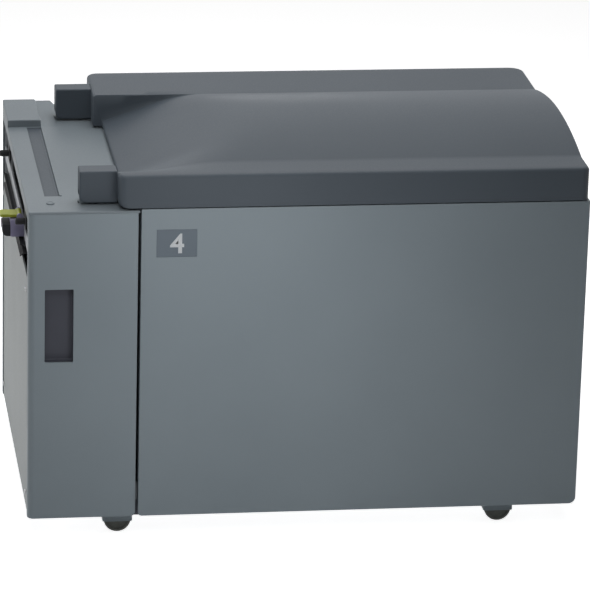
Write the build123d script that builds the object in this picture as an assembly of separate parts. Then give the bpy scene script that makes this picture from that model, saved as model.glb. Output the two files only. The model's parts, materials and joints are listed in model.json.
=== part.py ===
from build123d import *
import os
from math import atan2, cos, degrees, radians, sin

os.makedirs("parts", exist_ok=True)

# Floor-standing paper feed unit of a production printer: one deep bin under a hinged top lid, and a
# narrow feed section on the left that docks to the printer.
# Millimetres. x runs from the body's left side, d from its front face, z from the floor.

# Overall sizes
body_width = 976.0
body_depth = 640.0
dock_reach = 38.0  # the release lever stands this far out of the left side
ground_gap = 47.0  # floor to the lower edge of the covers
skin = 3.0  # moulded and pressed covers
sheet = 1.5  # folded steel
seat_gap = 0.3  # between parts that touch without being joined
running_gap = 0.05  # a shaft in its hole, on the radius
overcut = 1.0  # cuts run this far past the faces they open

# Feed section on the left
door_width = 188.5
seam = 5.5  # dark gap between the door and the front panel
door_thick = 22.0
top_height = 610.0  # top of the feed section
top_thick = 4.0
top_skirt = 20.0  # depth of the top cover's side walls
edge_round = 4.0

# Top cover details
groove_x = 34.0
groove_width = 26.0
groove_d = 89.0
groove_end = 140.0  # from the back
groove_deep = 2.5
pad_width = 60.0
pad_length = 135.0
pad_height = 13.0
button_x = 41.0
button_d = 48.0
button_radius = 7.0
button_proud = 2.0
button_travel = 1.5
button_sleeve = 3.0
button_depth = 12.0

# Front panel
panel_thick = 25.0
panel_rise = 2.0  # front panel above the feed section
panel_corner = 12.0
boss_radius = 6.0
boss_columns = 4
boss_margin = 48.0  # from the covers' ends to the outer bosses
badge_x = 220.0
badge_width = 70.0
badge_drop = 87.0  # from the panel's top to the foot of the badge
badge_height = 50.0
badge_recess = 1.0
badge_thick = 0.6

# Door pull
pull_x = 28.5
pull_width = 49.5
pull_drop = 140.0  # from the feed section's top to the top of the pull
pull_height = 133.0
pull_depth = 15.0
pull_undercut = 8.0  # the cup is wider than its mouth on the left, for the fingers
pull_wall = 2.0

# Door hinge
door_pivot = 8.0  # from the door's right edge and from its front face
door_pin_radius = 3.0
door_arm_width = 8.0
door_arm_thick = 3.0
door_arm_gap = 4.0  # between the door's flange and the arm
door_notch = 12.0

# Lid
lid_x = 154.0
lid_end_gap = 2.0  # lid stops short of the body's right side
lid_gap = 2.0  # over the front panel
lid_side = 58.0  # height of the lid's side walls
lid_crown = 25.0
lid_wall = 3.0
front_band = 76.0
rear_band = 150.0
lid_set_back = 17.0  # thin left edge of the middle, behind the ends of the bands
lid_edge_height = 8.0
slope_run = 140.0  # length over which the middle rises to the bands
lid_corner = 14.0
lid_edge = 6.0
liner_thick = 2.0
liner_margin = 20.0
liner_lift = 1.5
bumper_radius = 9.0

# Lid hinge
arm_left = 90.0
arm_width = 38.0
arm_front = 36.0
arm_rear_inset = 102.0  # front face of the rear arm, from the back
arm_clear = 6.0  # underside of the arms above the feed section
arm_drop = 2.0  # and end this far below its top
arm_round = 8.0
arm_pocket = 4.0  # wall of the hollow arm
hinge_in = 6.0  # hinge axis from the arm's left face
hinge_rise = 15.0  # hinge axis above the feed section
hinge_pin_radius = 3.5
hinge_ear = 6.5
hinge_tongue = 12.0
hinge_cheek = 7.0
tongue_gap = 2.0
slot_gap = 1.0
foot_thick = 3.0
foot_margin = 6.0

# Base pan, walls and posts
pan_under = 68.0
pan_lip = 34.0
pan_inset = 3.0
bin_left = 198.0
bay_width = 229.5  # space for the lift and the electrics, right of the bin
window_height = 68.0  # opening that sheets leave the bin through
wall_front = 60.0
post_width = 27.0
post_inset = 30.0
post_thick = 3.0

# Rim around the bin
rim_drop = 3.0  # below the front panel's top
rim_margin_x = 6.0
rim_margin_d = 30.0

# Rear cover
rear_thick = 15.0
rear_drop = 22.0  # below the feed section's top
head_radius = 4.5
head_thick = 2.0
louvre_count = 9
louvre_height = 5.0
louvre_pitch = 10.0

# Feed rollers
nip_drop = 104.0  # sheet path below the feed section's top
nip_gap = 0.3
shaft_radius = 4.0
feed_x = 165.0
feed_radius = 15.0
feed_width = 42.0
transport_x = 60.0
transport_radius = 12.0
pickup_x = 232.0
pickup_radius = 13.0
pickup_lift = 2.0  # the pickup roller waits this far above the nip
frame_front = 110.0
frame_sheet = 2.0
frame_left = 12.0
frame_right = 190.0
shaft_over = 10.0  # shaft ends beyond the frame plates
tyre_count = 4
tyre_width = 26.0
arm_plate = 3.0
arm_bar = 8.0
arm_hub = 9.0
knob_radius = 18.0
knob_length = 16.0
knob_gap = 6.0
knob_grips = 12
grip_radius = 1.5
stay_height = 300.0
stay_size = 14.0

# Sheet mouth and docking parts
mouth_out = 6.0
mouth_in = 44.0
mouth_open = 12.0
mouth_sheet = 2.0
mouth_flare = 4.0
hook_d = 150.0
hook_width = 40.0
hook_height = 22.0
hook_out = 34.0
hook_slope = 8.0
catch_out = 20.0
pin_radius = 6.0
pin_out = 14.0
pin_drop = 54.0  # below the feed section's top
pin_inset = 120.0
pin_plate = 34.0
lever_width = 30.0
lever_thick = 5.0
lever_pivot_x = -4.0
lever_hub = 5.0
lever_pin = 2.5
lever_rise = 11.0  # pivot above the catch
lever_side_gap = 0.5
ear_thick = 4.0
beam_height = 25.0
side_plate_d = 24.5
side_plate_end = 169.0  # from the back
side_plate_z = 208.0
side_plate_drop = 22.0  # below the sheet path

# Paper lift
tray_rest = 100.0
tray_height = 18.0
tray_sheet = 2.0
tray_gap = 4.5
stack_gap = 14.0  # raised tray below the sheet path
lug_width = 12.0
lug_out = 8.0
lug_inset = 46.0  # from the bin's ends to the middle of the lugs
rail_wall = 3.0
rail_room = 5.0
pad_thick = 1.5
lift_shaft_right = 28.5  # from the bin's end
lift_shaft_z = 96.0
lift_shaft_radius = 6.0
drum_radius = 20.0
drum_width = 10.0
drum_inset = 2.0  # from the shaft's ends
gearbox_size = 50.0
gearbox_width = 40.0
motor_radius = 22.0
motor_length = 70.0

# Paper guides
stack_width = 336.0
side_guide_x = 400.0
side_guide_length = 140.0
side_guide_travel = 95.0
end_guide_left = 49.5  # from the bin's end
end_guide_width = 60.0
end_guide_travel = 235.0
guide_thick = 3.0
guide_drop = 40.0  # below the rim
guide_foot = 25.0
guide_rail_width = 16.0
guide_rail_height = 10.0
guide_rib = 10.0
guide_ribs = 3
notch_gap = 5.0

# Fan, heater, board and drive motor
fan_right = 93.5  # from the bin's end
fan_drop = 96.0  # below the feed section's top
fan_size = 92.0
fan_depth = 25.0
fan_bore = 43.0
fan_tip_gap = 1.0
fan_hub = 17.0
fan_blades = 7
blade_thick = 2.0
blade_chord = 16.0
blade_twist = 32.0  # degrees
fan_spokes = 3
fan_pin = 3.0
spoke_width = 5.0
board_width = 170.0
board_height = 220.0
board_right = 23.5  # from the bin's end
board_z = 180.0
board_thick = 1.6
standoff = 14.0
chip_height = 8.0
chip_narrow = 21.0
chip_wide = 34.0
chip_length = 24.0
chip_columns = 3
chip_rows = 4
heater_length = 130.0
heater_width = 60.0
heater_height = 18.0
heater_base = 6.0
heater_x = 560.0
heater_d = 180.0
heater_fins = 9
feed_motor_radius = 26.0
feed_motor_length = 45.0
feed_motor_x = 112.0
feed_motor_drop = 37.0  # below the sheet path

# Casters
wheel_radius = 24.0
wheel_width = 20.0
wheel_hole = 4.0
trail = 16.0
caster_left = 146.0
caster_right_inset = 147.0
caster_inset = 54.0
caster_plate = 50.0
plate_thick = 2.0
raceway = 14.0
raceway_height = 6.0
kingpin = 4.0
crown_height = 8.0
fork_gap = 2.0
fork_wall = 3.0
fork_reach = 6.0

# Positions worked out from the sizes above
left_x = -(body_width - dock_reach) / 2
front_y = -body_depth / 2
middle_d = body_depth / 2
panel_x = door_width + seam
panel_top = top_height + panel_rise
rim_top = panel_top - rim_drop
rear_top = top_height - rear_drop
badge_z = panel_top - badge_drop
pull_z = top_height - pull_drop - pull_height
lid_right = body_width - lid_end_gap
lid_under = panel_top + lid_gap
lid_top = lid_under + lid_side
arm_rear = body_depth - arm_rear_inset
arm_under = top_height + arm_clear
arm_top = lid_top - arm_drop
hinge_z = top_height + hinge_rise
pan_floor = pan_under + sheet
pan_rear = body_depth - rear_thick
bin_right = body_width - bay_width
wall_rear = body_depth - wall_front
wall_top = rim_top - skin
plate_under = top_height - top_thick
frame_top = plate_under - sheet
hinge_x = arm_left + hinge_in
door_pivot_x = door_width - door_pivot
tray_top = tray_rest + tray_height
cover_right = body_width - skin
nip_height = top_height - nip_drop
lift_travel = nip_height - stack_gap - tray_top
lift_shaft_x = bin_right + lift_shaft_right
end_guide_x = bin_right - end_guide_left
guide_top = rim_top - guide_drop
frame_rear = body_depth - frame_front
side_plate_top = nip_height - side_plate_drop
pin_z = top_height - pin_drop
fan_x = bin_right + fan_right
fan_z = top_height - fan_drop
board_x = bin_right + board_right
feed_motor_z = nip_height - feed_motor_drop
caster_right = body_width - caster_right_inset
mouth_top = nip_height + mouth_open / 2 + mouth_sheet + mouth_flare
beam_bottom = mouth_top + seat_gap
catch_top = beam_bottom + beam_height
lever_pivot = catch_top + lever_rise


def at(x, d, z):
    return Vector(left_x + x, front_y + d, z)


def block(x, d, z):
    """A box between three pairs of limits."""
    middle = at((x[0] + x[1]) / 2, (d[0] + d[1]) / 2, (z[0] + z[1]) / 2)
    return Pos(middle) * Box(x[1] - x[0], d[1] - d[0], z[1] - z[0])


def rod_x(x, d, z, radius):
    middle = at((x[0] + x[1]) / 2, d, z)
    return Pos(middle) * Rot(0, 90, 0) * Cylinder(radius, x[1] - x[0])


def rod_d(x, d, z, radius):
    middle = at(x, (d[0] + d[1]) / 2, z)
    return Pos(middle) * Rot(90, 0, 0) * Cylinder(radius, d[1] - d[0])


def rod_z(x, d, z, radius):
    middle = at(x, d, (z[0] + z[1]) / 2)
    return Pos(middle) * Cylinder(radius, z[1] - z[0])


def join(pieces):
    """Pieces fused into one solid."""
    whole = pieces[0]
    for piece in pieces[1:]:
        whole = whole + piece
    return whole


def group(pieces):
    """Separate solids that share one node."""
    return Compound(children=list(pieces))


def between(low, high, count):
    return [low + (high - low) * step / (count - 1) for step in range(count)]


def upright(points, d):
    """A plate drawn as (x, z) corners and extruded from d[0] to d[1]."""
    face = make_face(Polyline([at(x, d[0], z) for x, z in points], close=True))
    return extrude(face, amount=d[1] - d[0], dir=(0, 1, 0))


# Base, walls and frame


def base_pan():
    x = (pan_inset, cover_right)
    d = (panel_thick, pan_rear)
    pan = block(x, d, (pan_under, pan_under + pan_lip))
    inside = block(
        (x[0] + sheet, x[1] - sheet),
        (d[0] + sheet, d[1] - sheet),
        (pan_floor, pan_under + pan_lip + sheet),
    )
    pan = pan - inside
    for d in post_places():
        notch = block(
            (0, pan_inset + sheet), (d, d + post_thick), (pan_floor, pan_under + pan_lip + sheet)
        )
        pan = pan - notch
    return pan


def lug_places():
    return [bin_left + sheet + lug_inset, bin_right - lug_inset]


def bin_wall(d):
    """Long wall beside the bin, with slots for the tray's lugs and a hole for the lift shaft."""
    wall = block((bin_left, cover_right - sheet), d, (pan_floor, wall_top))
    through = (d[0] - sheet, d[1] + sheet)
    low = tray_rest - notch_gap
    high = tray_top + lift_travel + notch_gap
    for x in lug_places():
        half = lug_width / 2 + seat_gap
        wall = wall - block((x - half, x + half), through, (low, high))
    return wall - rod_d(lift_shaft_x, through, lift_shaft_z, lift_shaft_radius + running_gap)


def bin_front_wall():
    return bin_wall((wall_front, wall_front + sheet))


def bin_rear_wall():
    return bin_wall((wall_rear - sheet, wall_rear))


def cross_walls():
    """Wall on the feed side with the window that sheets leave through, and the bin's end wall."""
    d = (wall_front + sheet, wall_rear - sheet)
    feed_wall = block((bin_left, bin_left + sheet), d, (pan_floor, wall_top))
    window = block(
        (bin_left - sheet, bin_left + 2 * sheet),
        (frame_front + frame_sheet, frame_rear),
        (nip_height - feed_radius, nip_height - feed_radius + window_height),
    )
    end_wall = block((bin_right, bin_right + sheet), d, (pan_floor, wall_top))
    return group([feed_wall - window, end_wall])


def post_places():
    return [post_inset, body_depth - post_inset - post_thick]


def docking_frame():
    """Four corner posts of the feed section and the beam that carries the docking parts."""
    posts = []
    for x in (skin, door_width - post_width):
        for d in post_places():
            posts.append(block((x, x + post_width), (d, d + post_thick), (pan_floor, frame_top)))
    beam = block(
        (skin, skin + post_thick),
        (post_inset + post_thick, body_depth - post_inset - post_thick),
        (beam_bottom, beam_bottom + beam_height),
    )
    return group(posts + [beam])


def hinge_places():
    return [arm_front + arm_width / 2, arm_rear + arm_width / 2]


def tongue_slot(d, z):
    half_x = hinge_ear + slot_gap
    half_d = hinge_tongue / 2 + slot_gap
    return block((hinge_x - half_x, hinge_x + half_x), (d - half_d, d + half_d), z)


def top_frame():
    """Sheet that ties the posts together under the top cover and carries the lid's hinges."""
    plate = block((skin, door_width), (panel_thick, pan_rear), (frame_top, plate_under))
    for d in hinge_places():
        plate = plate - tongue_slot(d, (frame_top - sheet, plate_under + sheet))
    sleeve = button_radius + seat_gap + button_sleeve + seat_gap
    return plate - rod_z(button_x, button_d, (frame_top - sheet, plate_under + sheet), sleeve)


def bin_rim():
    """Trim that closes the top of the body under the lid and leaves the bin's mouth open."""
    x = (panel_x + seat_gap, cover_right - seat_gap)
    deck = block(x, (panel_thick + seat_gap, body_depth), (wall_top, rim_top))
    skirt = block(x, (body_depth - skin, body_depth), (rear_top + seat_gap, wall_top))
    mouth = block(
        (bin_left + sheet + rim_margin_x, bin_right - rim_margin_x),
        (wall_front + sheet + rim_margin_d, wall_rear - sheet - rim_margin_d),
        (wall_top - skin, rim_top + skin),
    )
    return deck + skirt - fillet(mouth.edges().filter_by(Axis.Z), lid_corner)


# Outer covers


def panel_boss_places():
    return between(panel_x + boss_margin, cover_right - boss_margin, boss_columns)


def front_panel():
    x = (panel_x, body_width)
    outer = block(x, (0, panel_thick), (ground_gap, panel_top))
    corner = outer.edges().filter_by(Axis.Y).group_by(Axis.Z)[0].sort_by(Axis.X)[-1]
    outer = fillet(corner, panel_corner)
    outer = fillet(outer.faces().sort_by(Axis.Y)[0].edges(), edge_round)
    inner = block(
        (x[0] + skin, x[1] - skin), (skin, panel_thick + skin), (ground_gap + skin, panel_top - skin)
    )
    corner = inner.edges().filter_by(Axis.Y).group_by(Axis.Z)[0].sort_by(Axis.X)[-1]
    panel = outer - fillet(corner, panel_corner - skin)
    for place in panel_boss_places():
        panel = panel + rod_d(place, (skin / 2, panel_thick), pan_under + pan_lip / 2, boss_radius)
    recess = block(
        (badge_x, badge_x + badge_width), (-skin, badge_recess), (badge_z, badge_z + badge_height)
    )
    return panel - recess


def badge_plate():
    inset = seat_gap / 2
    return block(
        (badge_x + inset, badge_x + badge_width - inset),
        (badge_recess - badge_thick, badge_recess),
        (badge_z + inset, badge_z + badge_height - inset),
    )


def right_cover():
    d = (panel_thick + seat_gap, pan_rear - seat_gap)
    return block((cover_right, body_width), d, (ground_gap, panel_top))


def screw_places():
    columns = between(boss_margin, body_width - boss_margin, boss_columns)
    return [(x, pan_under + pan_lip / 2) for x in columns]


def louvre_places():
    half = (louvre_count - 1) / 2
    return [fan_z + louvre_pitch * (step - half) for step in range(louvre_count)]


def rear_cover():
    z = (ground_gap, rear_top)
    outer = block((0, body_width), (pan_rear, body_depth), z)
    outer = fillet(outer.faces().sort_by(Axis.Y)[-1].edges(), skin / 2)
    inner = block(
        (skin, cover_right), (pan_rear - skin, body_depth - skin), (z[0] + skin, z[1] - skin)
    )
    cover = outer - inner
    for x, height in screw_places():
        cover = cover + rod_d(x, (pan_rear, body_depth - skin / 2), height, boss_radius)
        cover = cover - rod_d(
            x, (body_depth - head_thick, body_depth + skin), height, head_radius + seat_gap
        )
    for height in louvre_places():
        slot = block(
            (fan_x - fan_bore, fan_x + fan_bore),
            (body_depth - 2 * skin, body_depth + skin),
            (height - louvre_height / 2, height + louvre_height / 2),
        )
        cover = cover - slot
    return cover


def cover_screws():
    heads = []
    for x, height in screw_places():
        heads.append(rod_d(x, (body_depth - head_thick, body_depth), height, head_radius))
    return group(heads)


def left_side_plate():
    """Light docking-side plate, with a set-back plate below and behind it."""
    top = side_plate_top
    d = (side_plate_d, body_depth - side_plate_end)
    upper = block((0, skin), d, (side_plate_z, top))
    lower = block((sheet, skin), (d[0], pan_rear - seat_gap), (ground_gap, top))
    room = block((0, 2 * skin), (d[0] - skin, d[1] + seat_gap), (side_plate_z - seat_gap, top + skin))
    return group([upper, lower - room])


def left_top_cover():
    lid_side_gap = panel_x - seam / 2
    z = (top_height - top_skirt, top_height)
    cover = block((0, lid_side_gap), (0, body_depth), z)
    cover = fillet(cover.faces().sort_by(Axis.X)[0].edges().group_by(Axis.Z)[-1], edge_round / 2)
    inner = block(
        (skin, lid_side_gap + skin), (skin, body_depth - skin), (z[0] - skin, plate_under)
    )
    door_room = block(
        (-skin, lid_side_gap + skin), (-skin, side_plate_d), (z[0] - skin, plate_under)
    )
    pad = block(
        (0, pad_width), (body_depth - pad_length, body_depth), (plate_under, top_height + pad_height)
    )
    pad = fillet(pad.faces().sort_by(Axis.Z)[-1].edges(), edge_round / 2)
    sleeve_top = (top_height - button_depth - button_sleeve, plate_under)
    outer_sleeve = button_radius + seat_gap + button_sleeve
    sleeve = rod_z(button_x, button_d, sleeve_top, outer_sleeve)
    cover = cover - inner - door_room + pad + sleeve
    well = (top_height - button_depth, top_height + skin)
    cover = cover - rod_z(button_x, button_d, well, button_radius + seat_gap)
    groove = block(
        (groove_x, groove_x + groove_width),
        (groove_d, body_depth - groove_end),
        (top_height - groove_deep, top_height + skin),
    )
    cover = cover - groove
    for d in hinge_places():
        cover = cover - tongue_slot(d, (plate_under - skin, top_height + skin))
    return cover


def tray_button():
    z = (top_height - button_depth + 2 * button_travel, top_height + button_proud)
    button = rod_z(button_x, button_d, z, button_radius)
    return fillet(button.faces().sort_by(Axis.Z)[-1].edges(), button_travel / 2)


# Lid


def lid_form(inset):
    """Lid's outside, or its inside when inset is the wall."""
    x = (lid_x + inset, lid_right - inset)
    d = (inset, body_depth - inset)
    top = lid_top - inset
    under = lid_under - inset
    rise = (front_band, body_depth - rear_band)
    crown = ThreePointArc(
        at(x[0], rise[0], top),
        at(x[0], (rise[0] + rise[1]) / 2, top + lid_crown),
        at(x[0], rise[1], top),
    )
    rear = Polyline(
        at(x[0], rise[1], top), at(x[0], d[1], top), at(x[0], d[1], under), at(x[0], d[0], under)
    )
    front = Polyline(at(x[0], d[0], under), at(x[0], d[0], top), at(x[0], rise[0], top))
    face = make_face([*front.edges(), crown.edge(), *rear.edges()])
    form = extrude(face, amount=x[1] - x[0], dir=(1, 0, 0))
    corners = form.edges().filter_by(Axis.Z)
    form = fillet(corners, lid_corner - inset)
    if inset == 0:
        form = fillet(form.edges().filter_by(lambda edge: lies_on_top(edge, top, x)), lid_edge)
    return form - lid_slope(inset)


def lies_on_top(edge, top, x):
    """Top edges that run round the lid, without the two creases along it."""
    middle = edge.center()
    crease = abs(edge.length - (x[1] - x[0])) < lid_wall and abs(middle.Y) < -front_y - lid_edge
    return middle.Z > top - lid_wall and not crease


def lid_slope(inset):
    """What is taken off the middle at the left end, where the lid falls to a thin edge."""
    edge_x = lid_x + lid_set_back + inset
    edge_z = lid_under + lid_edge_height - inset
    climb = (lid_side - lid_edge_height) / slope_run
    far = edge_x + (lid_side + lid_crown) / climb
    points = [
        (lid_x - lid_set_back, lid_under - lid_wall - lid_edge),
        (edge_x, lid_under - lid_wall - lid_edge),
        (edge_x, edge_z),
        (far, edge_z + climb * (far - edge_x)),
        (lid_x - lid_set_back, edge_z + climb * (far - edge_x)),
    ]
    return upright(points, (front_band - inset, body_depth - rear_band + inset))


def lid_shell():
    return lid_form(0) - lid_form(lid_wall)


def lid_liner():
    z = (lid_under + liner_lift, lid_under + liner_lift + liner_thick)
    x = (lid_x + lid_set_back + lid_wall + seat_gap, lid_right - lid_wall - seat_gap)
    d = (lid_wall + seat_gap, body_depth - lid_wall - seat_gap)
    plate = block(x, d, z)
    return fillet(plate.edges().filter_by(Axis.Z), lid_corner)


def lid_bumpers():
    pads = []
    for x in (bin_left + 2 * bumper_radius, cover_right - liner_margin - bumper_radius):
        for d in (panel_thick + liner_margin, body_depth - panel_thick - liner_margin):
            pads.append(rod_z(x, d, (rim_top + seat_gap, lid_under + liner_lift), bumper_radius))
    return group(pads)


def hinge_arm(d):
    """Hollow arm at the lid's left end, slotted for the fixed tongue and bored for its pin."""
    x = (arm_left, lid_x)
    outer = block(x, (d - arm_width / 2, d + arm_width / 2), (arm_under, arm_top))
    low_left = outer.edges().filter_by(Axis.Y).group_by(Axis.Z)[0].sort_by(Axis.X)[0]
    outer = fillet(low_left, arm_round)
    top = outer.faces().sort_by(Axis.Z)[-1].edges()
    free = top.filter_by(lambda edge: edge.center().X < left_x + lid_x - arm_pocket)
    outer = fillet(free, edge_round / 2)
    slot_top = hinge_z + hinge_ear + slot_gap
    inner = block(
        (x[0] + arm_pocket, x[1] - arm_pocket),
        (d - arm_width / 2 + arm_pocket, d + arm_width / 2 - arm_pocket),
        (slot_top + arm_pocket, arm_top - arm_pocket),
    )
    half_slot = hinge_tongue / 2 + tongue_gap
    slot = block(
        (x[0] - overcut, hinge_x + hinge_ear + slot_gap),
        (d - half_slot, d + half_slot),
        (arm_under - overcut, slot_top),
    )
    span = (d - half_slot - hinge_cheek, d + half_slot + hinge_cheek)
    bore = rod_d(hinge_x, span, hinge_z, hinge_pin_radius + running_gap)
    return outer - inner - slot - bore


def hinge_arms():
    return group([hinge_arm(d) for d in hinge_places()])


def hinge_brackets():
    """Fixed tongues that stand through the top cover, each with the lid's hinge pin."""
    pieces = []
    for d in hinge_places():
        span = (d - hinge_tongue / 2, d + hinge_tongue / 2)
        foot = block(
            (hinge_x - hinge_ear - foot_margin, hinge_x + hinge_ear + foot_margin),
            (span[0] - foot_margin, span[1] + foot_margin),
            (frame_top - foot_thick, frame_top),
        )
        stem = block((hinge_x - hinge_ear, hinge_x + hinge_ear), span, (frame_top, hinge_z))
        half_pin = hinge_tongue / 2 + tongue_gap + hinge_cheek - seat_gap
        pin = rod_d(hinge_x, (d - half_pin, d + half_pin), hinge_z, hinge_pin_radius)
        pieces.append(foot + stem + rod_d(hinge_x, span, hinge_z, hinge_ear) + pin)
    return group(pieces)


# Door of the feed section


def pull_mouth(d):
    return block((pull_x, pull_x + pull_width), d, (pull_z, pull_z + pull_height))


def door_top():
    return plate_under - seat_gap


def door_arm_levels():
    low = ground_gap + skin + door_arm_gap
    high = door_top() - skin - door_arm_gap - door_arm_thick
    return [low, high]


def left_door():
    z = (ground_gap, door_top())
    outer = block((0, door_width), (0, door_thick), z)
    outer = fillet(outer.faces().sort_by(Axis.Y)[0].edges(), edge_round / 2)
    inner = block((skin, door_width - skin), (skin, door_thick + skin), (z[0] + skin, z[1] - skin))
    door = outer - inner - pull_mouth((-skin, 2 * skin))
    for level in door_arm_levels():
        middle = level + door_arm_thick / 2
        notch = (middle - door_notch / 2, middle + door_notch / 2)
        door = door - block((door_width - 2 * skin, door_width + skin), (skin, door_thick + skin), notch)
    hole = door_pin_radius + running_gap
    return door - rod_z(door_pivot_x, door_pivot, (z[0] - skin, z[1] + skin), hole)


def door_pull():
    """Recessed cup behind the door's skin, wider than its mouth on the finger side."""
    x = (pull_x - pull_undercut - pull_wall, pull_x + pull_width + pull_wall)
    z = (pull_z - pull_wall, pull_z + pull_height + pull_wall)
    cup = block(x, (skin, pull_depth + pull_wall), z)
    inside = block(
        (x[0] + pull_wall, x[1] - pull_wall), (0, pull_depth), (z[0] + pull_wall, z[1] - pull_wall)
    )
    return cup - inside


def door_inner():
    """Steel plate that stiffens the door, behind the pull."""
    x = (skin + seat_gap, door_pivot_x - 2 * door_pivot)
    z = (ground_gap + skin + seat_gap, door_top() - skin - seat_gap)
    d = (pull_depth + pull_wall, pull_depth + pull_wall + sheet)
    plate = block(x, d, z)
    fold = block(x, (skin, d[1]), (z[0], z[0] + sheet))
    return plate + fold


def door_brackets():
    """Two arms on the frame, each with a pin in the door's upper or lower flange."""
    pieces = []
    low, high = door_arm_levels()
    half = door_arm_width / 2
    pins = {low: (ground_gap, low + door_arm_thick), high: (high, door_top())}
    for level, pin in pins.items():
        arm = block(
            (door_pivot_x - half, door_pivot_x + half),
            (door_pivot, post_inset),
            (level, level + door_arm_thick),
        )
        eye = rod_z(door_pivot_x, door_pivot, (level, level + door_arm_thick), half)
        reach = (level, pan_under) if level == low else (level - post_width, level)
        tail = block(
            (door_pivot_x - half, door_pivot_x + half),
            (post_inset - door_arm_thick, post_inset),
            reach,
        )
        pieces.append(arm + eye + tail + rod_z(door_pivot_x, door_pivot, pin, door_pin_radius))
    return group(pieces)


# Feed rollers and sheet path


def roller_level(side, radius):
    return nip_height + side * (nip_gap / 2 + radius)


def shaft_span():
    return (frame_front - shaft_over, frame_rear + frame_sheet + shaft_over)


def shaft_centres():
    return [
        (feed_x, roller_level(1, feed_radius)),
        (feed_x, roller_level(-1, feed_radius)),
        (transport_x, roller_level(1, transport_radius)),
        (transport_x, roller_level(-1, transport_radius)),
    ]


def feed_frame():
    """Two side plates that carry the roller shafts, tied by two stays."""
    pieces = []
    for d in (frame_front, frame_rear):
        plate = block((frame_left, frame_right), (d, d + frame_sheet), (pan_floor, frame_top))
        for x, z in shaft_centres():
            plate = plate - rod_d(x, (d - overcut, d + frame_sheet + overcut), z, shaft_radius + running_gap)
        pieces.append(plate)
    for x in (frame_left, frame_right - stay_size):
        span = (frame_front + frame_sheet, frame_rear)
        pieces.append(block((x, x + stay_size), span, (stay_height, stay_height + stay_size)))
    return group(pieces)


def feed_roller():
    level = roller_level(1, feed_radius)
    tyre = rod_d(feed_x, (middle_d - feed_width / 2, middle_d + feed_width / 2), level, feed_radius)
    return rod_d(feed_x, shaft_span(), level, shaft_radius) + tyre


def separation_roller():
    level = roller_level(-1, feed_radius)
    tyre = rod_d(feed_x, (middle_d - feed_width / 2, middle_d + feed_width / 2), level, feed_radius)
    return rod_d(feed_x, shaft_span(), level, shaft_radius) + tyre


def tyred_shaft(side):
    level = roller_level(side, transport_radius)
    shaft = rod_d(transport_x, shaft_span(), level, shaft_radius)
    first = frame_front + frame_sheet + 2 * tyre_width
    for d in between(first, frame_rear - 2 * tyre_width, tyre_count):
        shaft = shaft + rod_d(
            transport_x, (d - tyre_width / 2, d + tyre_width / 2), level, transport_radius
        )
    return shaft


def transport_roller():
    return tyred_shaft(-1)


def pinch_roller():
    return tyred_shaft(1)


def turn_knob():
    """Hand knob on the front end of the lower transport shaft, for clearing a jam."""
    level = roller_level(-1, transport_radius)
    back = frame_front - shaft_over + knob_gap
    knob = rod_d(transport_x, (back - knob_length, back), level, knob_radius)
    for step in range(knob_grips):
        turn = radians(360 * step / knob_grips)
        x = transport_x + knob_radius * sin(turn)
        z = level + knob_radius * cos(turn)
        knob = knob - rod_d(x, (back - knob_length - overcut, back - 2 * skin), z, grip_radius)
    bore = rod_d(transport_x, (frame_front - shaft_over, back + overcut), level, shaft_radius)
    return knob - bore


def pickup_level():
    return nip_height + pickup_lift + pickup_radius


def pickup_arm():
    """Two side bars on the feed shaft, joined by a cross bar and carrying the pickup axle."""
    drop = pickup_level() - roller_level(1, feed_radius)
    lean = degrees(atan2(drop, pickup_x - feed_x))
    reach = (pickup_x - feed_x) / cos(radians(lean))
    pieces = []
    inner = feed_width / 2 + 2 * skin
    for side in (-1, 1):
        near = middle_d + side * inner
        span = (min(near, near + side * arm_plate), max(near, near + side * arm_plate))
        bar = Pos(at(feed_x, (span[0] + span[1]) / 2, roller_level(1, feed_radius)))
        bar = bar * Rot(0, -lean, 0) * Pos(reach / 2, 0, 0) * Box(reach, arm_plate, 2 * arm_bar)
        bar = bar + rod_d(feed_x, span, roller_level(1, feed_radius), arm_hub)
        bar = bar + rod_d(pickup_x, span, pickup_level(), arm_bar)
        bar = bar - rod_d(feed_x, span, roller_level(1, feed_radius), shaft_radius + running_gap)
        bar = bar - rod_d(pickup_x, span, pickup_level(), shaft_radius + running_gap)
        pieces.append(bar)
    middle_x = (feed_x + feed_radius + pickup_x - pickup_radius) / 2
    middle_z = (roller_level(1, feed_radius) + pickup_level()) / 2
    cross = block(
        (middle_x - arm_bar / 2, middle_x + arm_bar / 2),
        (middle_d - inner, middle_d + inner),
        (middle_z - arm_bar / 2, middle_z + arm_bar / 2),
    )
    return join(pieces + [cross])


def pickup_roller():
    half = feed_width / 2
    over = half + 2 * skin + arm_plate + skin
    axle = rod_d(pickup_x, (middle_d - over, middle_d + over), pickup_level(), shaft_radius)
    return axle + rod_d(pickup_x, (middle_d - half, middle_d + half), pickup_level(), pickup_radius)


def exit_guide():
    """Upper and lower guide plates of the sheet mouth, flared towards the printer."""
    d = (frame_front + frame_sheet, frame_rear)
    pieces = []
    for side in (-1, 1):
        near = nip_height + side * mouth_open / 2
        far = near + side * mouth_sheet
        z = (min(near, far), max(near, far))
        plate = block((0, mouth_in), d, z)
        flare = upright(
            [
                (0, near),
                (-mouth_out, near + side * mouth_flare),
                (-mouth_out, far + side * mouth_flare),
                (0, far),
            ],
            d,
        )
        pieces.append(plate + flare)
    return group(pieces)


def lever_span():
    middle = hook_d + hook_width / 2
    return (middle - lever_width / 2, middle + lever_width / 2)


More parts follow.
